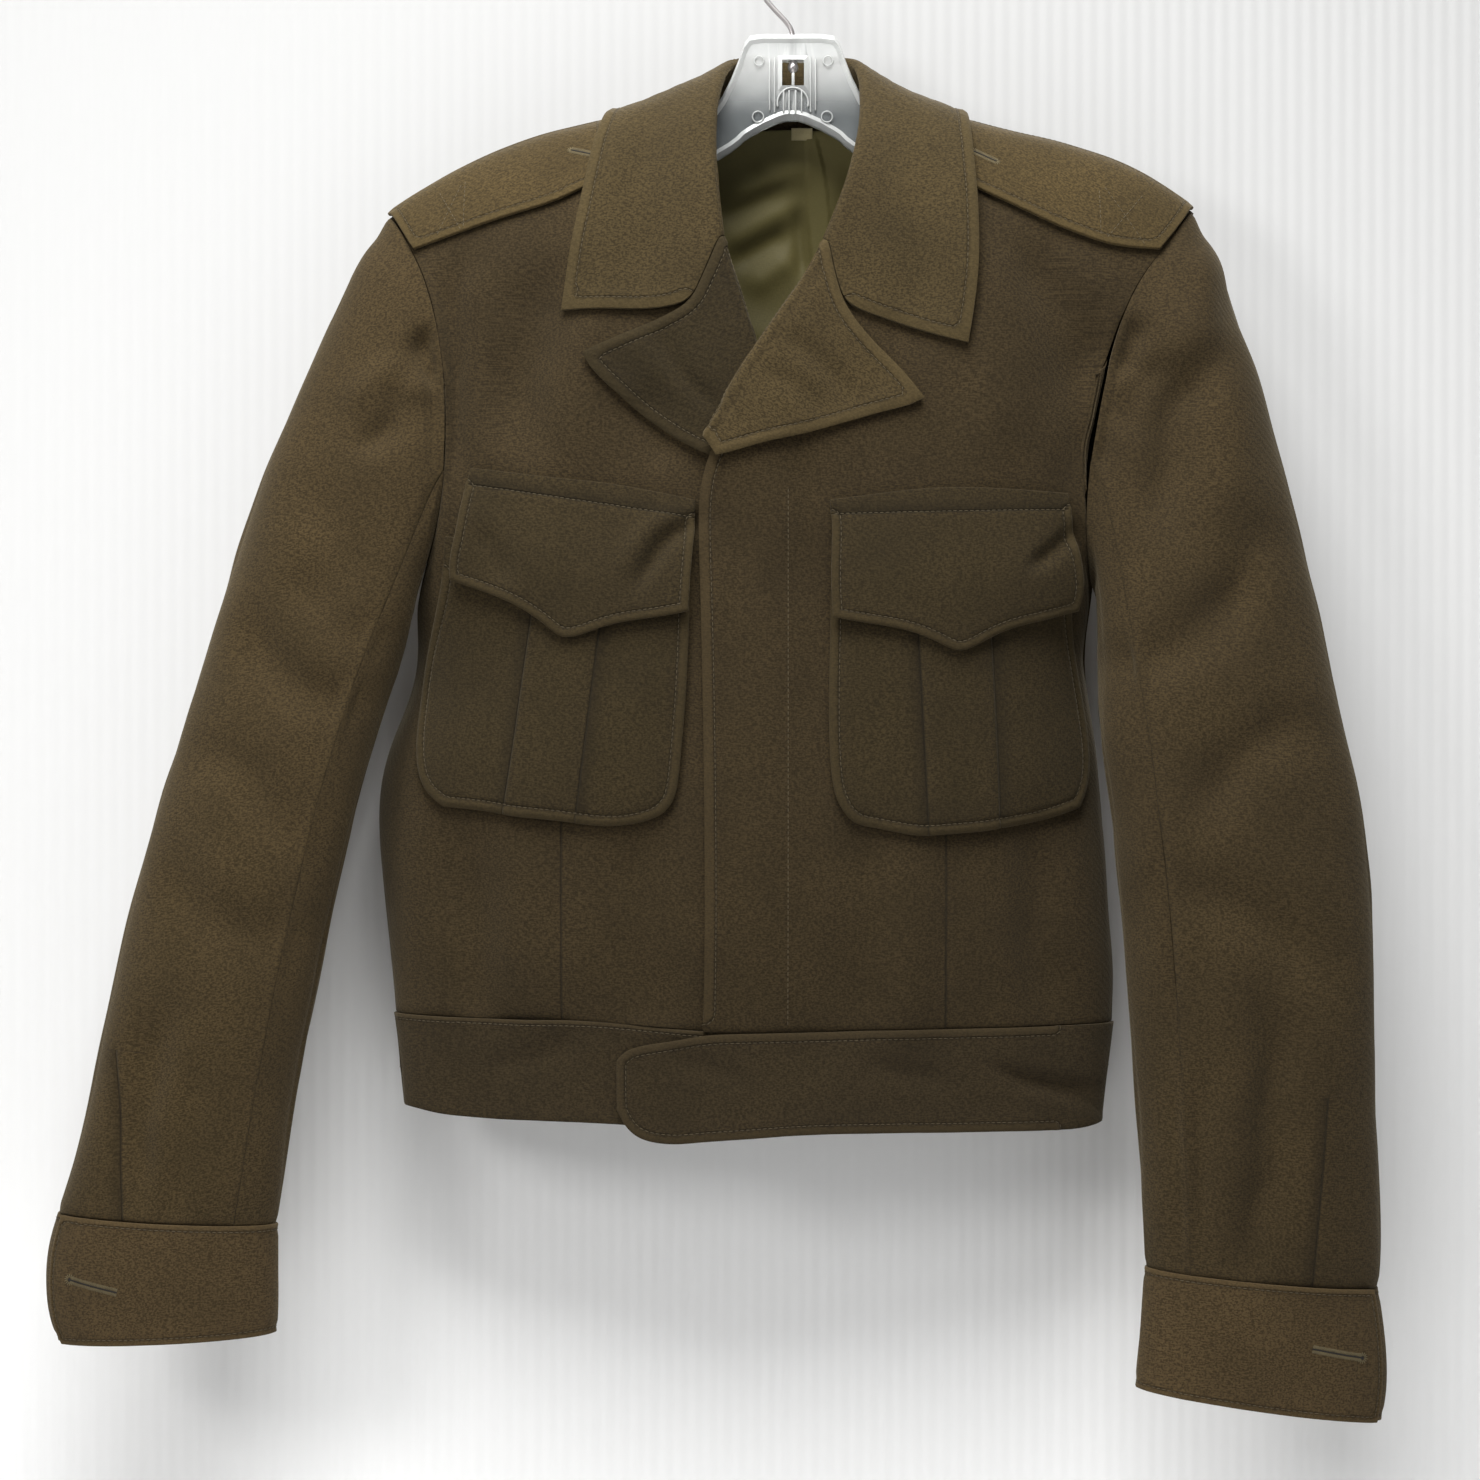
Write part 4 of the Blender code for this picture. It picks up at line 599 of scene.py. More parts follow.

# %% [markdown]
# The lining is cotton sateen, smoother than the wool, with a soft shine along its folds. The bare
# size label is a strip of woven tape. Both are seen in the neck only, and are painted lighter near
# its top: painted light, in place of the light that reaches the top of the neck.

# %% Sateen and tape


def woven(name, colour, rough, sheen, scale, contrast, lit_top_colour):
    """A fine plain or sateen weave of one colour, painted lighter nearer the neck as painted
    light.
    """
    made, tree, shader = new_material(name, Roughness=rough, Specular_IOR_Level=0.18,
                                      Sheen_Weight=sheen, Sheen_Roughness=0.4)
    weave = node_of(tree, "ShaderNodeUVMap", uv_map="weave").outputs[0]
    place = true_place(tree)
    threads_up = speckle(tree, stretched(tree, weave, (scale * 3, scale * 0.5, 1)), 1.0, 2.0)
    threads_over = speckle(tree, stretched(tree, weave, (scale * 0.4, scale * 3, 1)), 1.0, 2.0)
    mixed = maths(tree, "ADD", maths(tree, "MULTIPLY", threads_up, 0.5),
                  maths(tree, "MULTIPLY", threads_over, 0.5))
    mottle = speckle(tree, place, 30, 3.0)
    spread = maths(tree, "ADD", maths(tree, "MULTIPLY", mixed, contrast), 0.5 - contrast / 2,
                   clamp=True)
    shade = blend(tree, spread, times(colour, 0.68), times(colour, 1.3))
    shade = blend(tree, maths(tree, "MULTIPLY", mottle, 0.35), shade, times(colour, 0.6))
    # Painted light: the colour grows lighter toward the top of the neck.
    painted_neck_light = by_height(tree, place, (-0.215, -0.14), (0.0, 0.42))
    shade = blend(tree, painted_neck_light, shade, lit_top_colour)
    edge = near_line(tree, "rim", 0.9)
    shade = blend(tree, maths(tree, "MULTIPLY", edge, 0.35), shade, times(colour, 0.4))
    tree.links.new(shade, shader.inputs["Base Color"])
    tree.links.new(bump(tree, mixed, 0.00012), shader.inputs["Normal"])
    return made


cloths["sateen"] = woven("sateen", (0.066, 0.055, 0.017), 0.6, 0.03, 900, 2.0,
                          (0.215, 0.185, 0.075))
cloths["tape"] = woven("label_tape", (0.40, 0.34, 0.18), 0.8, 0.0, 700, 1.6, (0.52, 0.45, 0.26))

# %% [markdown]
# The cloth pieces. Each starts as a copy of its solid. The copy's outer side is kept and the
# rest deleted, the triangles are joined to four-sided faces, and a subdivision surface rounds
# them. Then the points are moved for creases, seams and welts, and Solidify gives the wall its
# thickness back, with a small bevel as the rolled edge of the cloth.

# %% Outer side of a wall
SHARP_TURN = math.radians(52)
BODY_MIDDLE = Vector((-22, -14, 0))
ARM_TOP = {"right": Vector((-207, -8, -260)), "left": Vector((188, -8, -260))}
ARM_END = {"right": Vector((-334, -44, -720)), "left": Vector((248, -50, -740))}


def arm_core(side, z):
    """The middle of a sleeve at a height."""
    share = (z - ARM_TOP[side].z) / (ARM_END[side].z - ARM_TOP[side].z)
    return ARM_TOP[side].lerp(ARM_END[side], share)


def arm_side(node):
    """The arm that a piece goes round, or None."""
    for side in ("right", "left"):
        if node.startswith("sleeve_" + side) or node == "cuff_" + side:
            return side
    return None


def round_the_body(node):
    """Whether a piece goes round the body."""
    return node in ("back", "front_right", "front_left") or node.startswith("waistband")


def outward(node, place):
    """A rough direction out of the jacket at a place of a node, to tell a wall's sides apart."""
    if arm_side(node):
        core = arm_core(arm_side(node), place.z)
        return Vector((place.x - core.x, place.y - core.y, 0))
    if node in ("lining_back", "size_label"):
        return Vector((0, -1, 0))
    if node.startswith("shoulder_loop"):
        return Vector((0, -0.4, 1))
    if round_the_body(node):
        middle = Vector((min(max(place.x, -110), 70), BODY_MIDDLE.y, place.z - 5))
        return place - middle
    if node == "collar":
        return Vector((place.x + 8, place.y - 6, 0))
    return Vector((0, -1, 0))


def keep_outer_side(piece, node):
    """Joins a copied solid's triangles and deletes all but the outer side of its wall."""
    merge_to_quads(piece, *CLOTH_QUADS)
    data = bmesh.from_edit_mesh(piece.data)
    data.faces.ensure_lookup_table()
    waiting = set(data.faces)
    best = []
    best_score = -1e9
    while waiting:
        first = waiting.pop()
        region = [first]
        edge_of_region = [first]
        while edge_of_region:
            face = edge_of_region.pop()
            for edge in face.edges:
                if len(edge.link_faces) != 2 or edge.calc_face_angle() > SHARP_TURN:
                    continue
                for other in edge.link_faces:
                    if other in waiting:
                        waiting.remove(other)
                        region.append(other)
                        edge_of_region.append(other)
        score = 0.0
        for face in region:
            way = outward(node, face.calc_center_median() / MM).normalized()
            score += face.calc_area() * face.normal.dot(way)
        if score > best_score:
            best_score = score
            best = region
    for face in data.faces:
        face.select = True
    for face in best:
        face.select = False
    bmesh.update_edit_mesh(piece.data)
    bpy.ops.mesh.delete(type="FACE")
    bpy.ops.object.mode_set(mode="OBJECT")


# %% [markdown]
# The weave's map. Threads run along the cloth, so a point's place across the map is measured
# round the body or the arm, and its place up the map is its height, turned by the grain of the
# piece. It is written into each face corner of the piece.

# %% Weave map
BODY_HALF_WIDTH = 184
BODY_HALF_DEPTH = 46
ARM_RADIUS = 43
GRAIN = {"collar": 8, "lapel_right": 24, "lapel_left": -22, "shoulder_loop_right": 24,
         "shoulder_loop_left": -24, "sleeve_right_top": 14, "sleeve_right_under": 14,
         "cuff_right": 3, "sleeve_left_top": -6, "sleeve_left_under": -6, "cuff_left": -5,
         "pocket_flap_right": -4}


def round_body(angle):
    """Way along the body's oval from its front middle to an angle."""
    steps = 12
    total = 0.0
    for step in range(steps):
        here = angle * (step + 0.5) / steps
        total += math.hypot(BODY_HALF_WIDTH * math.cos(here), BODY_HALF_DEPTH * math.sin(here))
    return total * angle / steps


TABLE_STEPS = 90
ROUND_TABLE = [round_body(math.pi * step / TABLE_STEPS) for step in range(TABLE_STEPS + 1)]


def map_place(node, place):
    """Where a point lies on the flat cloth, in metres."""
    x = place.x / MM
    y = place.y / MM
    z = place.z / MM
    across = x
    if arm_side(node):
        core = arm_core(arm_side(node), z)
        across = math.atan2(x - core.x, -(y - core.y)) * ARM_RADIUS
    if round_the_body(node):
        angle = math.atan2((x - BODY_MIDDLE.x) / BODY_HALF_WIDTH,
                           -(y - BODY_MIDDLE.y) / BODY_HALF_DEPTH)
        spot = abs(angle) / math.pi * TABLE_STEPS
        low = min(int(spot), TABLE_STEPS - 1)
        way = ROUND_TABLE[low] + (ROUND_TABLE[low + 1] - ROUND_TABLE[low]) * (spot - low)
        across = math.copysign(way, angle)
    turn = math.radians(GRAIN.get(node, 0))
    return ((across * math.cos(turn) + z * math.sin(turn)) * MM,
            (z * math.cos(turn) - across * math.sin(turn)) * MM)


def write_map(piece, node):
    """Gives a piece its map, each face whole even where the map's ends meet."""
    layer = piece.data.uv_layers.new(name="weave")
    spots = [map_place(node, vert.co) for vert in piece.data.vertices]
    span = 2 * (math.pi * ARM_RADIUS if arm_side(node) else ROUND_TABLE[-1]) * MM
    for face in piece.data.polygons:
        first = spots[face.vertices[0]]
        for corner, vert in zip(face.loop_indices, face.vertices):
            u, v = spots[vert]
            if abs(u - first[0]) > span / 2:
                u -= math.copysign(span, u - first[0])
            layer.data[corner].uv = (u, v)


# %% [markdown]
# Sewn lines. Two kinds need a number on each point: the rows of stitches that run beside a sewn
# edge, at that edge's own distance, and the lines inside a panel, such as a dart or the fold of
# a box pleat. Distances keep their sign across a line, so the shader finds the line between two
# points as well.

# %% Sewn lines
PANEL_SEAMS = {
    # node: lines of x0, z0, x1, z1
    "front_right": [(-123, -400, -123, -611)],
    "front_left": [(81, -400, 81, -613)],
    "sleeve_right_top": [(-357, -622, -352, -716)],
    "sleeve_left_top": [(279, -646, 271, -746)],
    "pocket_right": [(-138, -388, -154.5, -503), (-116, -507, -102, -398)],
    "pocket_left": [(65.5, -398, 71.5, -510), (110.5, -509, 105, -398)],
    "pocket_flap_right": [(-52, -343.3, -172, -325)],
    "pocket_flap_left": [(146, -338, 19, -341.6)],
}
# On these the cloth lies in a fold, and a painted shadow darkens the line's positive side.
SHADOWED_FOLD_PIECES = ("sleeve_right_top", "sleeve_left_top", "pocket_right", "pocket_left",
          "pocket_flap_right", "pocket_flap_left")
# The row of stitches beside a piece's free edges: its distance, and which edge points are free.
SEWN = {
    "collar": (6.0, lambda p: p.x < -57 or p.x > 31 or p.y > 24),
    "lapel_right": (6.0, lambda p: p.x < -46 or p.z > -240),
    "lapel_left": (6.0, lambda p: p.x > -52),
    "pocket_right": (5.5, lambda p: p.z < -372),
    "pocket_left": (5.5, lambda p: p.z < -372),
    "pocket_flap_right": (5.0, lambda p: p.z < -327 - 0.1525 * (p.x + 172)),
    "pocket_flap_left": (5.0, lambda p: p.z < -343.6 + 0.028 * (p.x - 19)),
    "shoulder_loop_right": (4.6, lambda p: True),
    "shoulder_loop_left": (4.6, lambda p: True),
    "waistband_left": (5.0, lambda p: p.x < 140),
    "waistband_right": (2.6, lambda p: p.z > -636),
    "waistband_back": (2.6, lambda p: p.z > -636),
    "cuff_right": (3.0, lambda p: True),
    "cuff_left": (3.0, lambda p: True),
    "front_left": (6.0, lambda p: p.x < -40 and -606 < p.z < -262),
}
CREASE_SHARE = {"cuff_right": 0.4, "cuff_left": 0.4, "size_label": 0.0,
                "shoulder_loop_right": 0.5, "shoulder_loop_left": 0.5}
FAR = 60.0           # a distance that is as good as none
WELT = 0.6           # how far the cloth stands out between an edge and its row of stitches
ROW_DEPTH = 0.6      # how deep the row itself is drawn in
ROW_HALF = 1.5
SEAM_FADE = 6.0      # creases die out this near a sewn edge, so that both sides still meet
RIM_DEPTH = 0.3      # how deep a sewn edge is drawn in
LINE_DEPTH = 0.5     # and a sewn line inside a panel
HEAD_ROLL = 1.2      # how far the sleeve head stands out beside the armhole
HEAD_FROM = -222     # from this height up
HEAD_LIFT = 3.0      # how far its edge is raised at the shoulder point
LIFT_FROM = -202
LINING_DEPTH = 1.5   # how much deeper than in their table the lining's folds are
LINING_HALF = 106    # the lining lies behind this half width of the back
LINING_FOOT = -362   # down to this height
BACK_CALM = 0.8      # and takes this share of the back's creases away, so as not to come through


def line_distance(x, z, lines):
    """Signed distance to the nearest of some straight lines, in millimetres."""
    best = 99.0
    for x0, z0, x1, z1 in lines:
        length = math.hypot(x1 - x0, z1 - z0)
        share = ((x - x0) * (x1 - x0) + (z - z0) * (z1 - z0)) / length ** 2
        if -0.01 < share < 1.01:
            away = ((x - x0) * (z1 - z0) - (z - z0) * (x1 - x0)) / length
            if abs(away) < abs(best):
                best = away
    return best


def edge_tree(points):
    """A search tree of points, or None for an empty list."""
    if not points:
        return None
    tree = KDTree(len(points))
    for index, point in enumerate(points):
        tree.insert(point, index)
    tree.balance()
    return tree


def edge_points(data):
    """Points every half millimetre along the open edges of a sheet, in millimetres."""
    points = []
    for edge in data.edges:
        if edge.is_boundary:
            start = edge.verts[0].co / MM
            end = edge.verts[1].co / MM
            count = max(1, int((end - start).length / 0.5))
            points += [start.lerp(end, step / count) for step in range(count)]
    return points


def relief(piece, node):
    """Moves a sheet's points for creases, seams and welts, and keeps their distances."""
    data = bmesh.new()
    data.from_mesh(piece.data)
    data.normal_update()
    points = edge_points(data)
    all_edges = edge_tree(points)
    offset, free = SEWN.get(node, (0.0, None))
    sewn_edges = edge_tree([p for p in points if free(p)]) if free else None
    rims, rows, seams, shadowed_fold_distances = [], [], [], []
    moves = []
    for vert in data.verts:
        place = vert.co / MM
        rim = min(all_edges.find(place)[2], 40.0)
        row = min(sewn_edges.find(place)[2], FAR) - offset if sewn_edges else FAR
        seam = FAR
        if node in PANEL_SEAMS and vert.normal.y < 0:
            seam = line_distance(place.x, place.z, PANEL_SEAMS[node])
        if node == "lining_back":
            push = LINING_DEPTH * crease_push(place.x, place.z, LINING_FOLDS)
            push += pleat_push(place.x, place.z)
        else:
            push = hang_push(vert.co, vert.normal) * CREASE_SHARE.get(node, 1.0)
        if node == "back":
            push *= 1 - BACK_CALM * (soft((LINING_HALF - abs(place.x)) / 16)
                                     * soft((place.z - LINING_FOOT) / 20))
        if sewn_edges:
            beside = row + offset
            push += WELT * math.sin(math.pi * min(beside / max(offset, 1), 1.0))
            push -= ROW_DEPTH * math.exp(-(row / ROW_HALF) ** 2)
        else:
            push *= soft(rim / SEAM_FADE)
            push -= RIM_DEPTH * math.exp(-(rim / 1.8) ** 2)
        lift = Vector((0, 0, 0))
        if node.startswith("sleeve"):
            push += HEAD_ROLL * soft(1 - rim / 14) * soft((place.z - HEAD_FROM) / 40)
            lift.z = HEAD_LIFT * soft(1 - rim / 12) * soft((place.z - LIFT_FROM) / 22)
        if abs(seam) < 8:
            push -= LINE_DEPTH * math.exp(-(seam / 1.6) ** 2)
        rims.append(rim)
        rows.append(row)
        seams.append(seam)
        shadowed_fold_distances.append(seam if node in SHADOWED_FOLD_PIECES else FAR)
        moves.append((vert.normal * push + lift) * MM)
    for vert, move in zip(data.verts, moves):
        vert.co += move
    data.to_mesh(piece.data)
    data.free()
    for name, values in (("rim", rims), ("stitch", rows), ("seam", seams), ("shadowed_fold", shadowed_fold_distances)):
        layer = piece.data.attributes.new(name, "FLOAT", "POINT")
        layer.data.foreach_set("value", values)


print("panels with inner lines:", len(PANEL_SEAMS))

# %% [markdown]
# Rows of stitches. Where a row runs beside an edge, it is the line on which the kept distance is
# nought, so it is walked across the faces from one crossing to the next. Along it lie single
# stitches, each with its place, its way along the row and its way out of the cloth.

# %% Rows of stitches
threads = {"stitch": [], "bar": [], "slit": []}
surfaces = {}
STITCH_SPACING = 3.0
THREAD_LIFT = 0.12       # how far a thread's middle lies above the cloth, in millimetres
ROW_STEP = 1.5
IN_FRONT = -0.4          # a place well in front of the jacket, in metres


def crossings(piece, name):
    """The lines on a sheet where a point value is nought, each a list of points."""
    mesh = piece.data
    mesh.calc_loop_triangles()
    values = [0.0] * len(mesh.vertices)
    mesh.attributes[name].data.foreach_get("value", values)
    places = {}
    joined = {}
    for triangle in mesh.loop_triangles:
        ends = []
        corners = triangle.vertices
        for first, second in ((0, 1), (1, 2), (2, 0)):
            a, b = sorted((corners[first], corners[second]))
            if (values[a] > 0) != (values[b] > 0):
                share = values[a] / (values[a] - values[b])
                places[a, b] = (mesh.vertices[a].co.lerp(mesh.vertices[b].co, share),
                                mesh.vertices[a].normal.copy())
                ends.append((a, b))
        if len(ends) == 2:
            joined.setdefault(ends[0], []).append(ends[1])
            joined.setdefault(ends[1], []).append(ends[0])
    lines = []
    left = set(joined)
    starts = [key for key in joined if len(joined[key]) == 1] + list(joined)
    for start in starts:
        if start not in left:
            continue
        line = []
        here = start
        while here is not None:
            left.discard(here)
            line.append(places[here])
            here = next((key for key in joined[here] if key in left), None)
        lines.append(line)
    return lines


def sew(line):
    """Puts stitches along a line of points with their ways out of the cloth."""
    walked = STITCH_SPACING / 2
    for (start, normal), (end, _) in zip(line, line[1:]):
        length = (end - start).length / MM
        if length < 1e-6:
            continue
        while walked <= length:
            spot = start.lerp(end, walked / length) + normal * THREAD_LIFT * MM
            threads["stitch"].append((spot, (end - start).normalized(), normal))
            walked += STITCH_SPACING
        walked -= length


def on_surface(x, z, node):
    """The point of a dressed piece that a level line from the front meets, with its normal."""
    start = Vector((x * MM, IN_FRONT, z * MM))
    hit, normal, _, _ = surfaces[node].ray_cast(start, Vector((0, 1, 0)))
    return (hit, normal) if hit else None


def straight(x0, z0, x1, z1, node, step=ROW_STEP):
    """A line of points on a piece between two places seen from the front."""
    count = max(2, int(math.hypot(x1 - x0, z1 - z0) / step))
    found = [on_surface(x0 + (x1 - x0) * i / count, z0 + (z1 - z0) * i / count, node)
             for i in range(count + 1)]
    return [spot for spot in found if spot]


# %% [markdown]
# Now the whole jacket is dressed. The table gives, for each piece, how fine its surface is, how
# thick its wall, which wool it is cut from, the size of the flat cut, and what it lies on.

# %% Dress the cloth
PIECES = {
    # node: (levels, wall mm, cloth, width m, length m, rests on)
    "front_right": (3, 1.5, "chest", 0.29, 0.53, ["hanger"]),
    "front_left": (3, 1.5, "chest", 0.33, 0.53, ["hanger"]),
    "back": (2, 1.5, "chest", 0.50, 0.53, ["hanger"]),
    "sleeve_right_top": (3, 1.5, "sleeve", 0.24, 0.62, []),
    "sleeve_right_under": (3, 1.5, "sleeve", 0.16, 0.46, []),
    "sleeve_left_top": (3, 1.5, "sleeve_left", 0.24, 0.62, []),
    "sleeve_left_under": (3, 1.5, "sleeve_left", 0.16, 0.46, []),
    "cuff_right": (2, 2.0, "cuff", 0.32, 0.085, []),
    "cuff_left": (2, 2.0, "cuff", 0.33, 0.090, []),
    "waistband_right": (2, 2.3, "band", 0.21, 0.068, []),
    "waistband_left": (3, 2.3, "band", 0.31, 0.068, []),
    "waistband_back": (2, 2.3, "band", 0.45, 0.068, []),
    "collar": (2, 2.3, "collar_right", 0.50, 0.16, []),
    "lapel_right": (2, 2.3, "lapel", 0.12, 0.15, ["front_right"]),
    "lapel_left": (2, 2.3, "collar_left", 0.14, 0.15, ["front_left"]),
    "pocket_right": (3, 1.5, "pocket", 0.17, 0.17, ["front_right"]),
    "pocket_left": (3, 1.5, "pocket", 0.17, 0.17, ["front_left"]),
    "pocket_flap_right": (3, 2.3, "pocket", 0.15, 0.10, ["pocket_right"]),
    "pocket_flap_left": (3, 2.3, "pocket", 0.16, 0.10, ["pocket_left"]),
    "shoulder_loop_right": (2, 2.3, "loop", 0.15, 0.06, ["front_right"]),
    "shoulder_loop_left": (2, 2.3, "loop", 0.16, 0.06, ["front_left"]),
    "lining_back": (4, 0.5, "sateen", 0.19, 0.23, ["back"]),
    "size_label": (4, 0.4, "tape", 0.014, 0.012, ["lining_back"]),
}
SEAM_GAP = 0.4       # the solids of one length of cloth lie this near together, in millimetres


def dress(node, levels, wall, cloth):
    """Makes the finished piece of cloth that stands for a solid, or for the three solids that are
    one length of cloth on the real jacket."""
    solids = [name for name in (node, node + "_mid", node + "_low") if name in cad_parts]
    lengths = [copy_of(name, node + "_cloth", cloths[cloth]) for name in solids]
    for part in lengths:
        keep_outer_side(part, node)
    piece = lengths[0]
    if len(lengths) > 1:
        edit_all(join(lengths))
        bpy.ops.mesh.remove_doubles(threshold=SEAM_GAP * MM)
        bpy.ops.object.mode_set(mode="OBJECT")
    refine(piece, levels)
    relief(piece, node)
    write_map(piece, node)
    surfaces[node] = BVHTree.FromPolygons([vert.co.copy() for vert in piece.data.vertices],
                                          [list(face.vertices) for face in piece.data.polygons])
    if node in SEWN:
        for line in crossings(piece, "stitch"):
            if len(line) > 6:
                sew(line)
    thicken(piece, wall)
    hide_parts(*solids)
    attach(piece, "root")
    return piece


def thicken(piece, wall):
    """Gives an open sheet its wall, inward, and rolls the wall's edges."""
    solid = piece.modifiers.new("wall", "SOLIDIFY")
    solid.thickness = wall * MM
    solid.offset = -1
    solid.use_even_offset = False
    finish_modifier(piece, "wall")
    roll_edges(piece, wall * 0.28, 2, 55, 60)


dressed = {}
for node, (levels, wall, cloth, width, length, rests_on) in PIECES.items():
    dressed[node] = dress(node, levels, wall, cloth)
    area = sum(face.area for face in dressed[node].data.polygons) / 2
    print(node, len(dressed[node].data.polygons), "faces", round(area, 4), "m2 of",
          round(width * length, 4))

# %% [markdown]
# Some rows don't run beside an edge: the long row that closes the fly, the row under the top of
# each pocket flap, and the box with a cross that holds the sleeve end of each shoulder loop. They
# are drawn as straight lines seen from the front and laid on the cloth below them.

# %% Rows inside a piece
INNER_ROWS = [
    # node, x0, z0, x1, z1
    ("front_left", -3, -328, -3, -612),
    ("pocket_flap_right", -170, -325.5, -54, -343),
    ("pocket_flap_left", 21, -341.5, 144, -338),
    ("shoulder_loop_right", -190, -166, -178, -187),
    ("shoulder_loop_right", -178, -162, -190, -190),
    ("shoulder_loop_right", -176, -160, -176, -186),
    ("shoulder_loop_left", 164, -166, 164, -190),
    ("shoulder_loop_left", 188, -168, 168, -192),
    ("shoulder_loop_left", 167, -164, 188, -196),
]
for node, x0, z0, x1, z1 in INNER_ROWS:
    line = straight(x0, z0, x1, z1, node)
    if len(line) > 2:
        sew(line)
print("stitches so far:", len(threads["stitch"]))

# %% [markdown]
# A worked buttonhole is a slit whose two edges are wrapped in close thread bars, square to the
# slit. On a cuff its button end is a round eye. The bars are the same small grain as a stitch,
# only longer, and dark grains in a row are painted shade that stands for the open slit between
# them.

# %% Buttonholes
BUTTONHOLES = [
    # node, x0, z0, x1, z1, radius of the eye at the second end
    ("cuff_right", -355, -750, -381, -744.5, 2.1),
    ("cuff_left", 271, -778.5, 298, -784.5, 2.1),
    ("shoulder_loop_right", -104, -148, -119, -144, 0),
    ("shoulder_loop_left", 94, -144, 109, -151, 0),
]
BAR_STEP = 0.62
BAR_AWAY = 1.25
EYE_SLIT = 0.5


def buttonhole(node, x0, z0, x1, z1, eye):
    """Works one buttonhole into a piece."""
    line = straight(x0, z0, x1, z1, node, BAR_STEP)
    for (start, normal), (end, _) in zip(line, line[1:]):
        along = (end - start).normalized()
        across = along.cross(normal).normalized()
        for side in (-1, 1):
            threads["bar"].append((start + across * side * BAR_AWAY * MM, across, normal))
        threads["slit"].append((start + normal * THREAD_LIFT * MM, along, normal))
    last, normal = line[-1]
    along = (last - line[-2][0]).normalized()
    across = along.cross(normal).normalized()
    count = 14 if eye else 6
    for step in range(count):
        turn = math.pi * (2 * step / count if eye else step / (count - 1) - 0.5)
        way = along * math.cos(turn) + across * math.sin(turn)
        threads["bar"].append((last + way * max(eye, BAR_AWAY) * MM, way, normal))
    if eye:
        for step in range(6):
            turn = math.pi * step / 3
            way = along * math.cos(turn) + across * math.sin(turn)
            away = way * EYE_SLIT + normal * THREAD_LIFT
            threads["slit"].append((last + away * MM, way, normal))


for row in BUTTONHOLES:
    buttonhole(*row)
print("thread bars:", len(threads["bar"]))

# %% [markdown]
# Every stitch is one small grain of thread. It is modelled once, as a ball drawn out along the
# row, and Geometry Nodes puts a copy at each spot of a row, turned along it. The copies are then
# made real, so that a kind of stitch ends as one mesh.

# %% Thread
THREAD_KINDS = {
    # kind: (half length, half width, half height in mm, colour, roughness)
    "stitch": (1.12, 0.22, 0.17, (0.066, 0.049, 0.022), 0.8),
    "bar": (1.05, 0.27, 0.22, (0.086, 0.067, 0.029), 0.8),
    # Nearly black grains: painted shade in the open slit of a buttonhole.
    "slit": (0.55, 0.42, 0.10, (0.006, 0.005, 0.004), 0.95),
}


def thread_material(kind, colour, rough):
    """Plain cotton thread of one colour."""
    made, tree, shader = new_material("thread_" + kind, Roughness=rough)
    uneven = speckle(tree, true_place(tree), 300, 2.0)
    shade = blend(tree, uneven, times(colour, 0.6), times(colour, 1.35))
    tree.links.new(shade, shader.inputs["Base Color"])
    return made


def grain(kind, length, width, height, material):
    """One stitch of thread, drawn out along X."""
    bpy.ops.mesh.primitive_uv_sphere_add(segments=6, ring_count=4, radius=1)
    made = bpy.context.object
    made.name = "grain_" + kind
    edit_all(made)
    bpy.ops.transform.rotate(value=math.pi / 2, orient_axis="Y", center_override=(0, 0, 0))
    bpy.ops.transform.resize(value=(length * MM, width * MM, height * MM),
                             center_override=(0, 0, 0))
    bpy.ops.object.mode_set(mode="OBJECT")
    bpy.ops.object.shade_smooth()
    made.data.materials.append(material)
    return made


def placing_nodes(kind, model, material):
    """A node tree that puts the model on each point, turned by the point's own value."""
    tree = bpy.data.node_groups.new("rows_of_" + kind, "GeometryNodeTree")
    tree.interface.new_socket("Geometry", in_out="INPUT", socket_type="NodeSocketGeometry")
    tree.interface.new_socket("Geometry", in_out="OUTPUT", socket_type="NodeSocketGeometry")
    start = tree.nodes.new("NodeGroupInput")
    end = tree.nodes.new("NodeGroupOutput")
    place = tree.nodes.new("GeometryNodeInstanceOnPoints")
    source = tree.nodes.new("GeometryNodeObjectInfo")
    source.inputs["Object"].default_value = model
    turn = node_of(tree, "GeometryNodeInputNamedAttribute", data_type="FLOAT_VECTOR")
    turn.inputs["Name"].default_value = "turn"
    to_rotation = tree.nodes.new("FunctionNodeEulerToRotation")
    real = tree.nodes.new("GeometryNodeRealizeInstances")
    paint = tree.nodes.new("GeometryNodeSetMaterial")
    paint.inputs["Material"].default_value = material
    tree.links.new(start.outputs[0], place.inputs["Points"])
    tree.links.new(source.outputs["Geometry"], place.inputs["Instance"])
    tree.links.new(turn.outputs[0], to_rotation.inputs[0])
    tree.links.new(to_rotation.outputs[0], place.inputs["Rotation"])
    tree.links.new(place.outputs[0], real.inputs[0])
    tree.links.new(real.outputs[0], paint.inputs["Geometry"])
    tree.links.new(paint.outputs[0], end.inputs[0])
    return tree


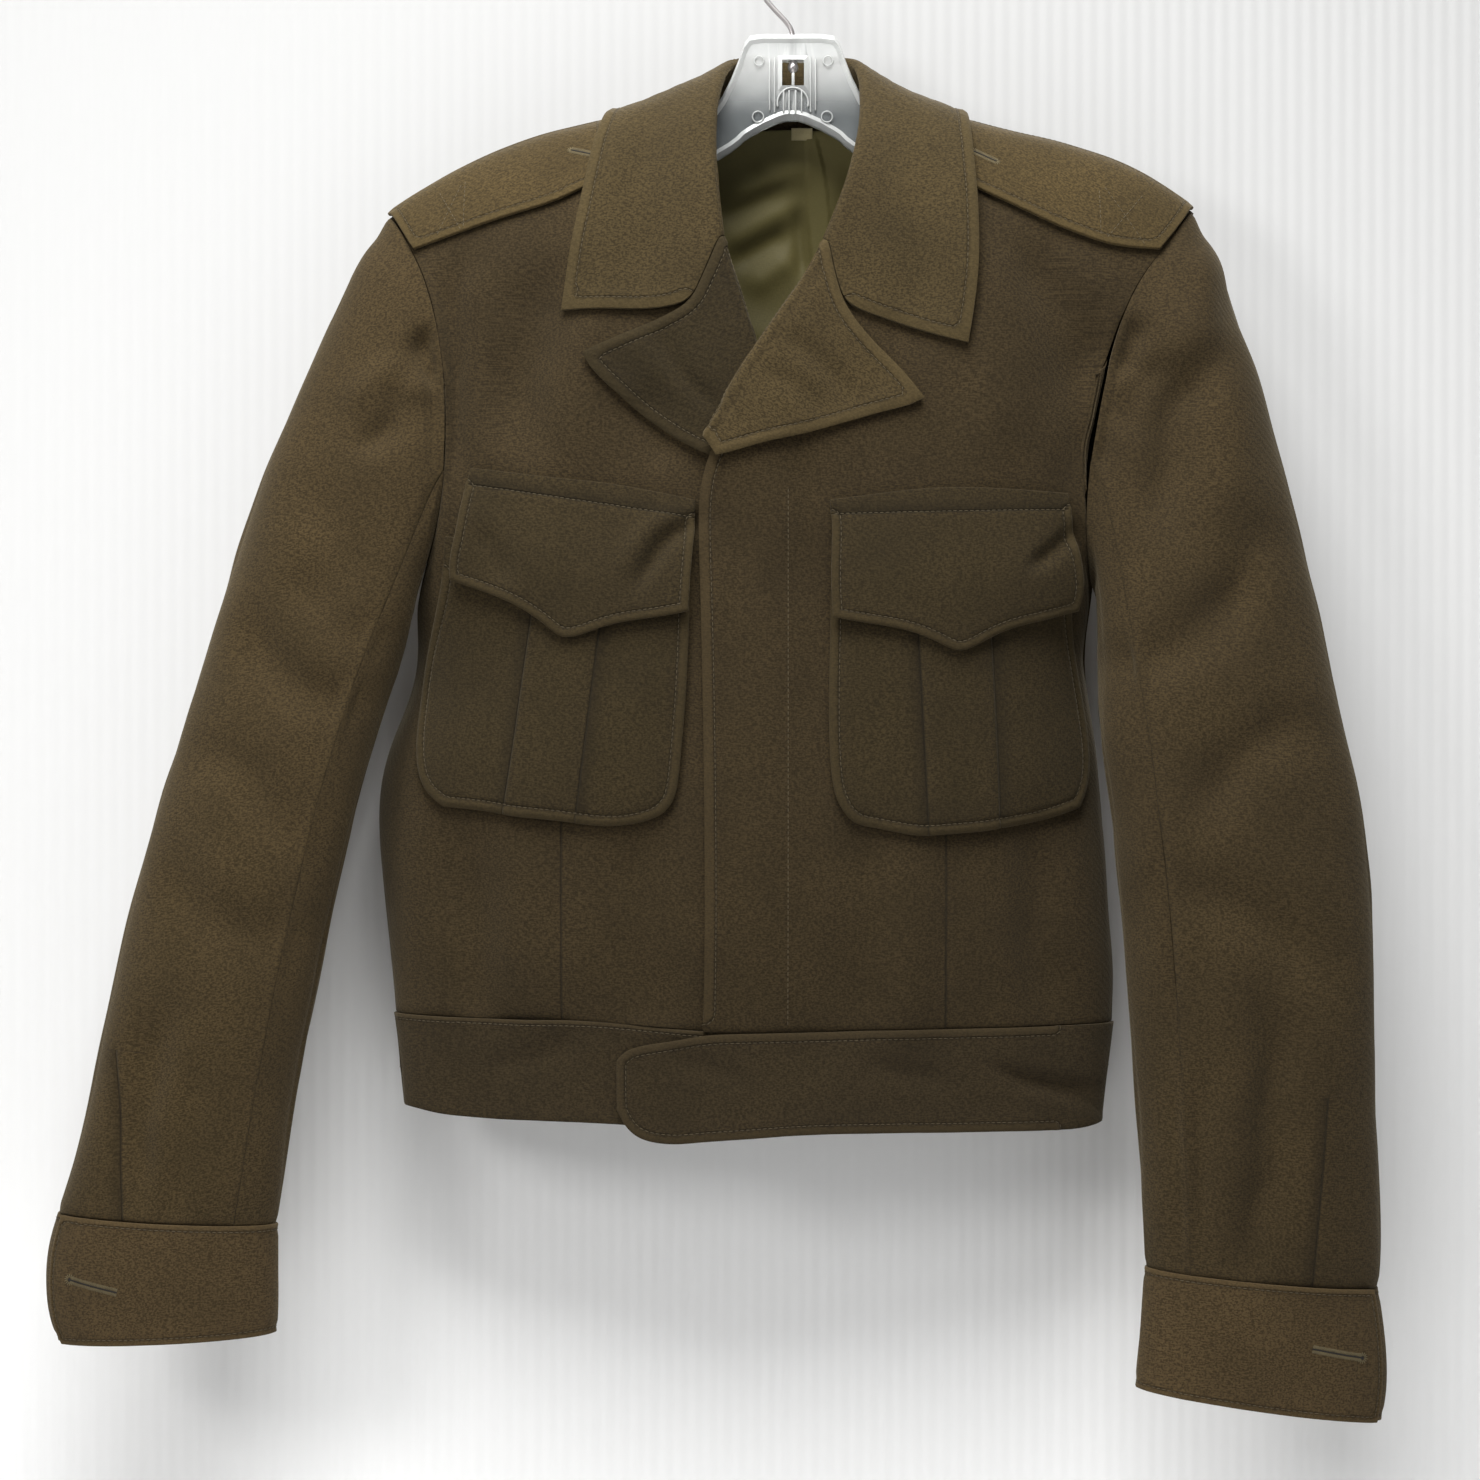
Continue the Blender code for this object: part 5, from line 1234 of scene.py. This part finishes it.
def rows_of(kind):
    """All stitches of one kind as one piece."""
    length, width, height, colour, rough = THREAD_KINDS[kind]
    spots = threads[kind]
    mesh = bpy.data.meshes.new("thread_" + kind)
    mesh.from_pydata([spot for spot, _, _ in spots], [], [])
    turns = []
    for _, along, normal in spots:
        across = normal.cross(along).normalized()
        up = along.cross(across).normalized()
        turns += Matrix((along, across, up)).transposed().to_euler("XYZ")[:]
    layer = mesh.attributes.new("turn", "FLOAT_VECTOR", "POINT")
    layer.data.foreach_set("vector", turns)
    piece = bpy.data.objects.new("thread_" + kind, mesh)
    scene.collection.objects.link(piece)
    material = thread_material(kind, colour, rough)
    model = grain(kind, length, width, height, material)
    rows = piece.modifiers.new("rows", "NODES")
    rows.node_group = placing_nodes(kind, model, material)
    finish_modifier(piece, "rows")
    piece.data.materials.clear()
    piece.data.materials.append(material)
    bpy.data.objects.remove(model)
    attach(piece, "root")
    return piece


for kind in THREAD_KINDS:
    made = rows_of(kind)
    print(kind, len(threads[kind]), "grains,", len(made.data.polygons), "faces")

# %% [markdown]
# The hook is a bent steel wire. Its solid has ten sides, so a copy is merged, joined to
# four-sided faces and rounded. Drawn wire is smooth with a dull shine.

# %% Hook
steel, _, _ = new_material("steel_wire", Base_Color=(0.50, 0.47, 0.47, 1), Metallic=1.0,
                           Roughness=0.34)
hook = copy_of("hook", "hook_wire", steel)
merge_to_quads(hook, *PLAIN_QUADS)
bpy.ops.object.mode_set(mode="OBJECT")
refine(hook, 2)
bpy.ops.object.shade_smooth()
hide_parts("hook")
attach(hook, "root")
print("hook faces:", len(hook.data.polygons))

# %% [markdown]
# The hanger is moulded from clear plastic that has gone a little milky. A raised rim follows its
# outline and the slot, so the front of a copy is inset and pushed back. Thick edges of such a
# plastic look whiter than its thin middle, so the rim has a second, less clear material. Both
# carry painted light: they are painted brighter toward the top, where the light comes through, and
# have painted glints in small streaks near the slot.

# %% Hanger
RIM_WIDTH = 2.2
RIM_HEIGHT = 1.5
FACES_FRONT = -0.93      # a face whose normal's Y is below this looks to the front


def plastic(name, colour, painted_light_colour, clear, rough):
    """Milky clear plastic. Shallow waves from the mould break up what it reflects. Its colour
    holds painted light toward the top and painted glints near the slot.
    """
    made, tree, shader = new_material(name, Transmission_Weight=clear, Roughness=rough, IOR=1.49)
    place = true_place(tree)
    tree.links.new(bump(tree, speckle(tree, place, 55, 1.0), 0.0016), shader.inputs["Normal"])
    apart = node_of(tree, "ShaderNodeSeparateXYZ")
    tree.links.new(place, apart.inputs[0])
    # Painted light toward the top, and painted glints in streaks near the middle of the neck.
    painted_light_above = by_height(tree, place, (-0.124, -0.093), (0.0, 0.9), interpolation_type="SMOOTHSTEP")
    streaks = speckle(tree, stretched(tree, place, (420, 60, 60)), 1.0, 2.0)
    painted_glints = maths(tree, "MULTIPLY", maths(tree, "SUBTRACT", streaks, 0.55, clamp=True), 5.0,
                   clamp=True)
    aside = maths(tree, "MULTIPLY", maths(tree, "ABSOLUTE", apart.outputs[0]), 60.0)
    middle = maths(tree, "SUBTRACT", 1.0, aside, clamp=True)
    amount = maths(tree, "ADD", painted_light_above, maths(tree, "MULTIPLY", painted_glints, middle), clamp=True)
    tree.links.new(blend(tree, amount, colour, painted_light_colour), shader.inputs["Base Color"])
    return made


def hanger_body():
    """The hanger with its raised rim."""
    thin = plastic("plastic_thin", (0.19, 0.205, 0.21), (0.80, 0.81, 0.80), 0.62, 0.16)
    rim = plastic("plastic_rim", (0.46, 0.47, 0.46), (0.62, 0.63, 0.62), 0.40, 0.24)
    piece = copy_of("hanger", "hanger_clear", thin)
    piece.data.materials.append(rim)
    merge_to_quads(piece, *PLAIN_QUADS)
    data = bmesh.from_edit_mesh(piece.data)
    for face in data.faces:
        face.select = face.normal.y < FACES_FRONT
        face.material_index = 1
    bmesh.update_edit_mesh(piece.data)
    bpy.ops.mesh.inset(thickness=RIM_WIDTH * MM, use_even_offset=True)
    bpy.ops.transform.translate(value=(0, RIM_HEIGHT * MM, 0))
    data = bmesh.from_edit_mesh(piece.data)
    for face in data.faces:
        if face.select:
            face.material_index = 0
    bmesh.update_edit_mesh(piece.data)
    bpy.ops.object.mode_set(mode="OBJECT")
    roll_edges(piece, 0.5, 3, 32, 50)
    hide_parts("hanger")
    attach(piece, "root")
    return piece


hanger = hanger_body()
print("hanger faces:", len(hanger.data.polygons))

# %% [markdown]
# On the hanger's neck the mould has left small things: a rib that guides the hook in the slot,
# ribs on both sides of it, an arch under it and four rings from the ejector pins. They are boxes
# and rings, laid on the plate and joined into one piece.

# %% Ribs and rings of the hanger
PLATE_FACE = -3.4
RIBS = [
    # x, z from, z to, width, height over the plate
    (-12.2, -118, -90, 0.8, 0.7), (-9.4, -119, -89, 0.7, 0.5), (10.0, -119, -89, 0.7, 0.5),
    (12.8, -118, -90, 0.8, 0.7), (-4.6, -119, -107, 0.9, 0.9), (-1.6, -120, -107, 0.8, 0.7),
    (1.9, -120, -107, 1.0, 0.9), (5.2, -119, -107, 0.8, 0.8),
]
SLOT_RIB = ((0.6, -1.0, -101.0), (1.5, 5.0, 7.2))      # its middle and size
RINGS = [
    # x, z, radius, thickness
    (-18.5, -121.5, 3.0, 0.42), (19.0, -121.5, 3.0, 0.42), (-18.0, -91, 2.6, 0.3),
    (19.5, -91, 2.6, 0.3),
]
ARCH = (0.4, -114, 8.4, 0.55)
ARCH_FOOT = -116


def box(x, y, z, size):
    """A small box at a place, all in millimetres."""
    bpy.ops.mesh.primitive_cube_add(size=1, location=(x * MM, y * MM, z * MM),
                                    scale=tuple(side * MM for side in size))
    return bpy.context.object


def ring(x, z, radius, thickness, around):
    """A ring that lies on the plate, all in millimetres."""
    bpy.ops.mesh.primitive_torus_add(location=(x * MM, PLATE_FACE * MM, z * MM),
                                     rotation=(math.pi / 2, 0, 0), major_segments=around,
                                     minor_segments=8, major_radius=radius * MM,
                                     minor_radius=thickness * MM)
    return bpy.context.object


def moulded_marks():
    """The ribs and rings as one piece."""
    made = []
    for x, low, high, width, height in RIBS:
        made.append(box(x, PLATE_FACE - height / 2 + 0.3, (low + high) / 2,
                        (width, height + 0.6, high - low)))
    made.append(box(*SLOT_RIB[0], SLOT_RIB[1]))
    made += [ring(*row, 32) for row in RINGS]
    arch = ring(*ARCH, 40)
    edit_all(arch)
    bpy.ops.mesh.bisect(plane_co=(0, 0, ARCH_FOOT * MM), plane_no=(0, 0, 1), clear_inner=True,
                        use_fill=True)
    bpy.ops.object.mode_set(mode="OBJECT")
    made.append(arch)
    piece = join(made)
    piece.name = "hanger_marks"
    bpy.ops.object.transform_apply(location=True, rotation=True, scale=True)
    roll_edges(piece, 0.2, 2, 60, 50)
    piece.data.materials.clear()
    piece.data.materials.append(bpy.data.materials["plastic_rim"])
    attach(piece, "root")
    return piece


marks = moulded_marks()
print("ribs and rings:", len(marks.data.polygons), "faces")
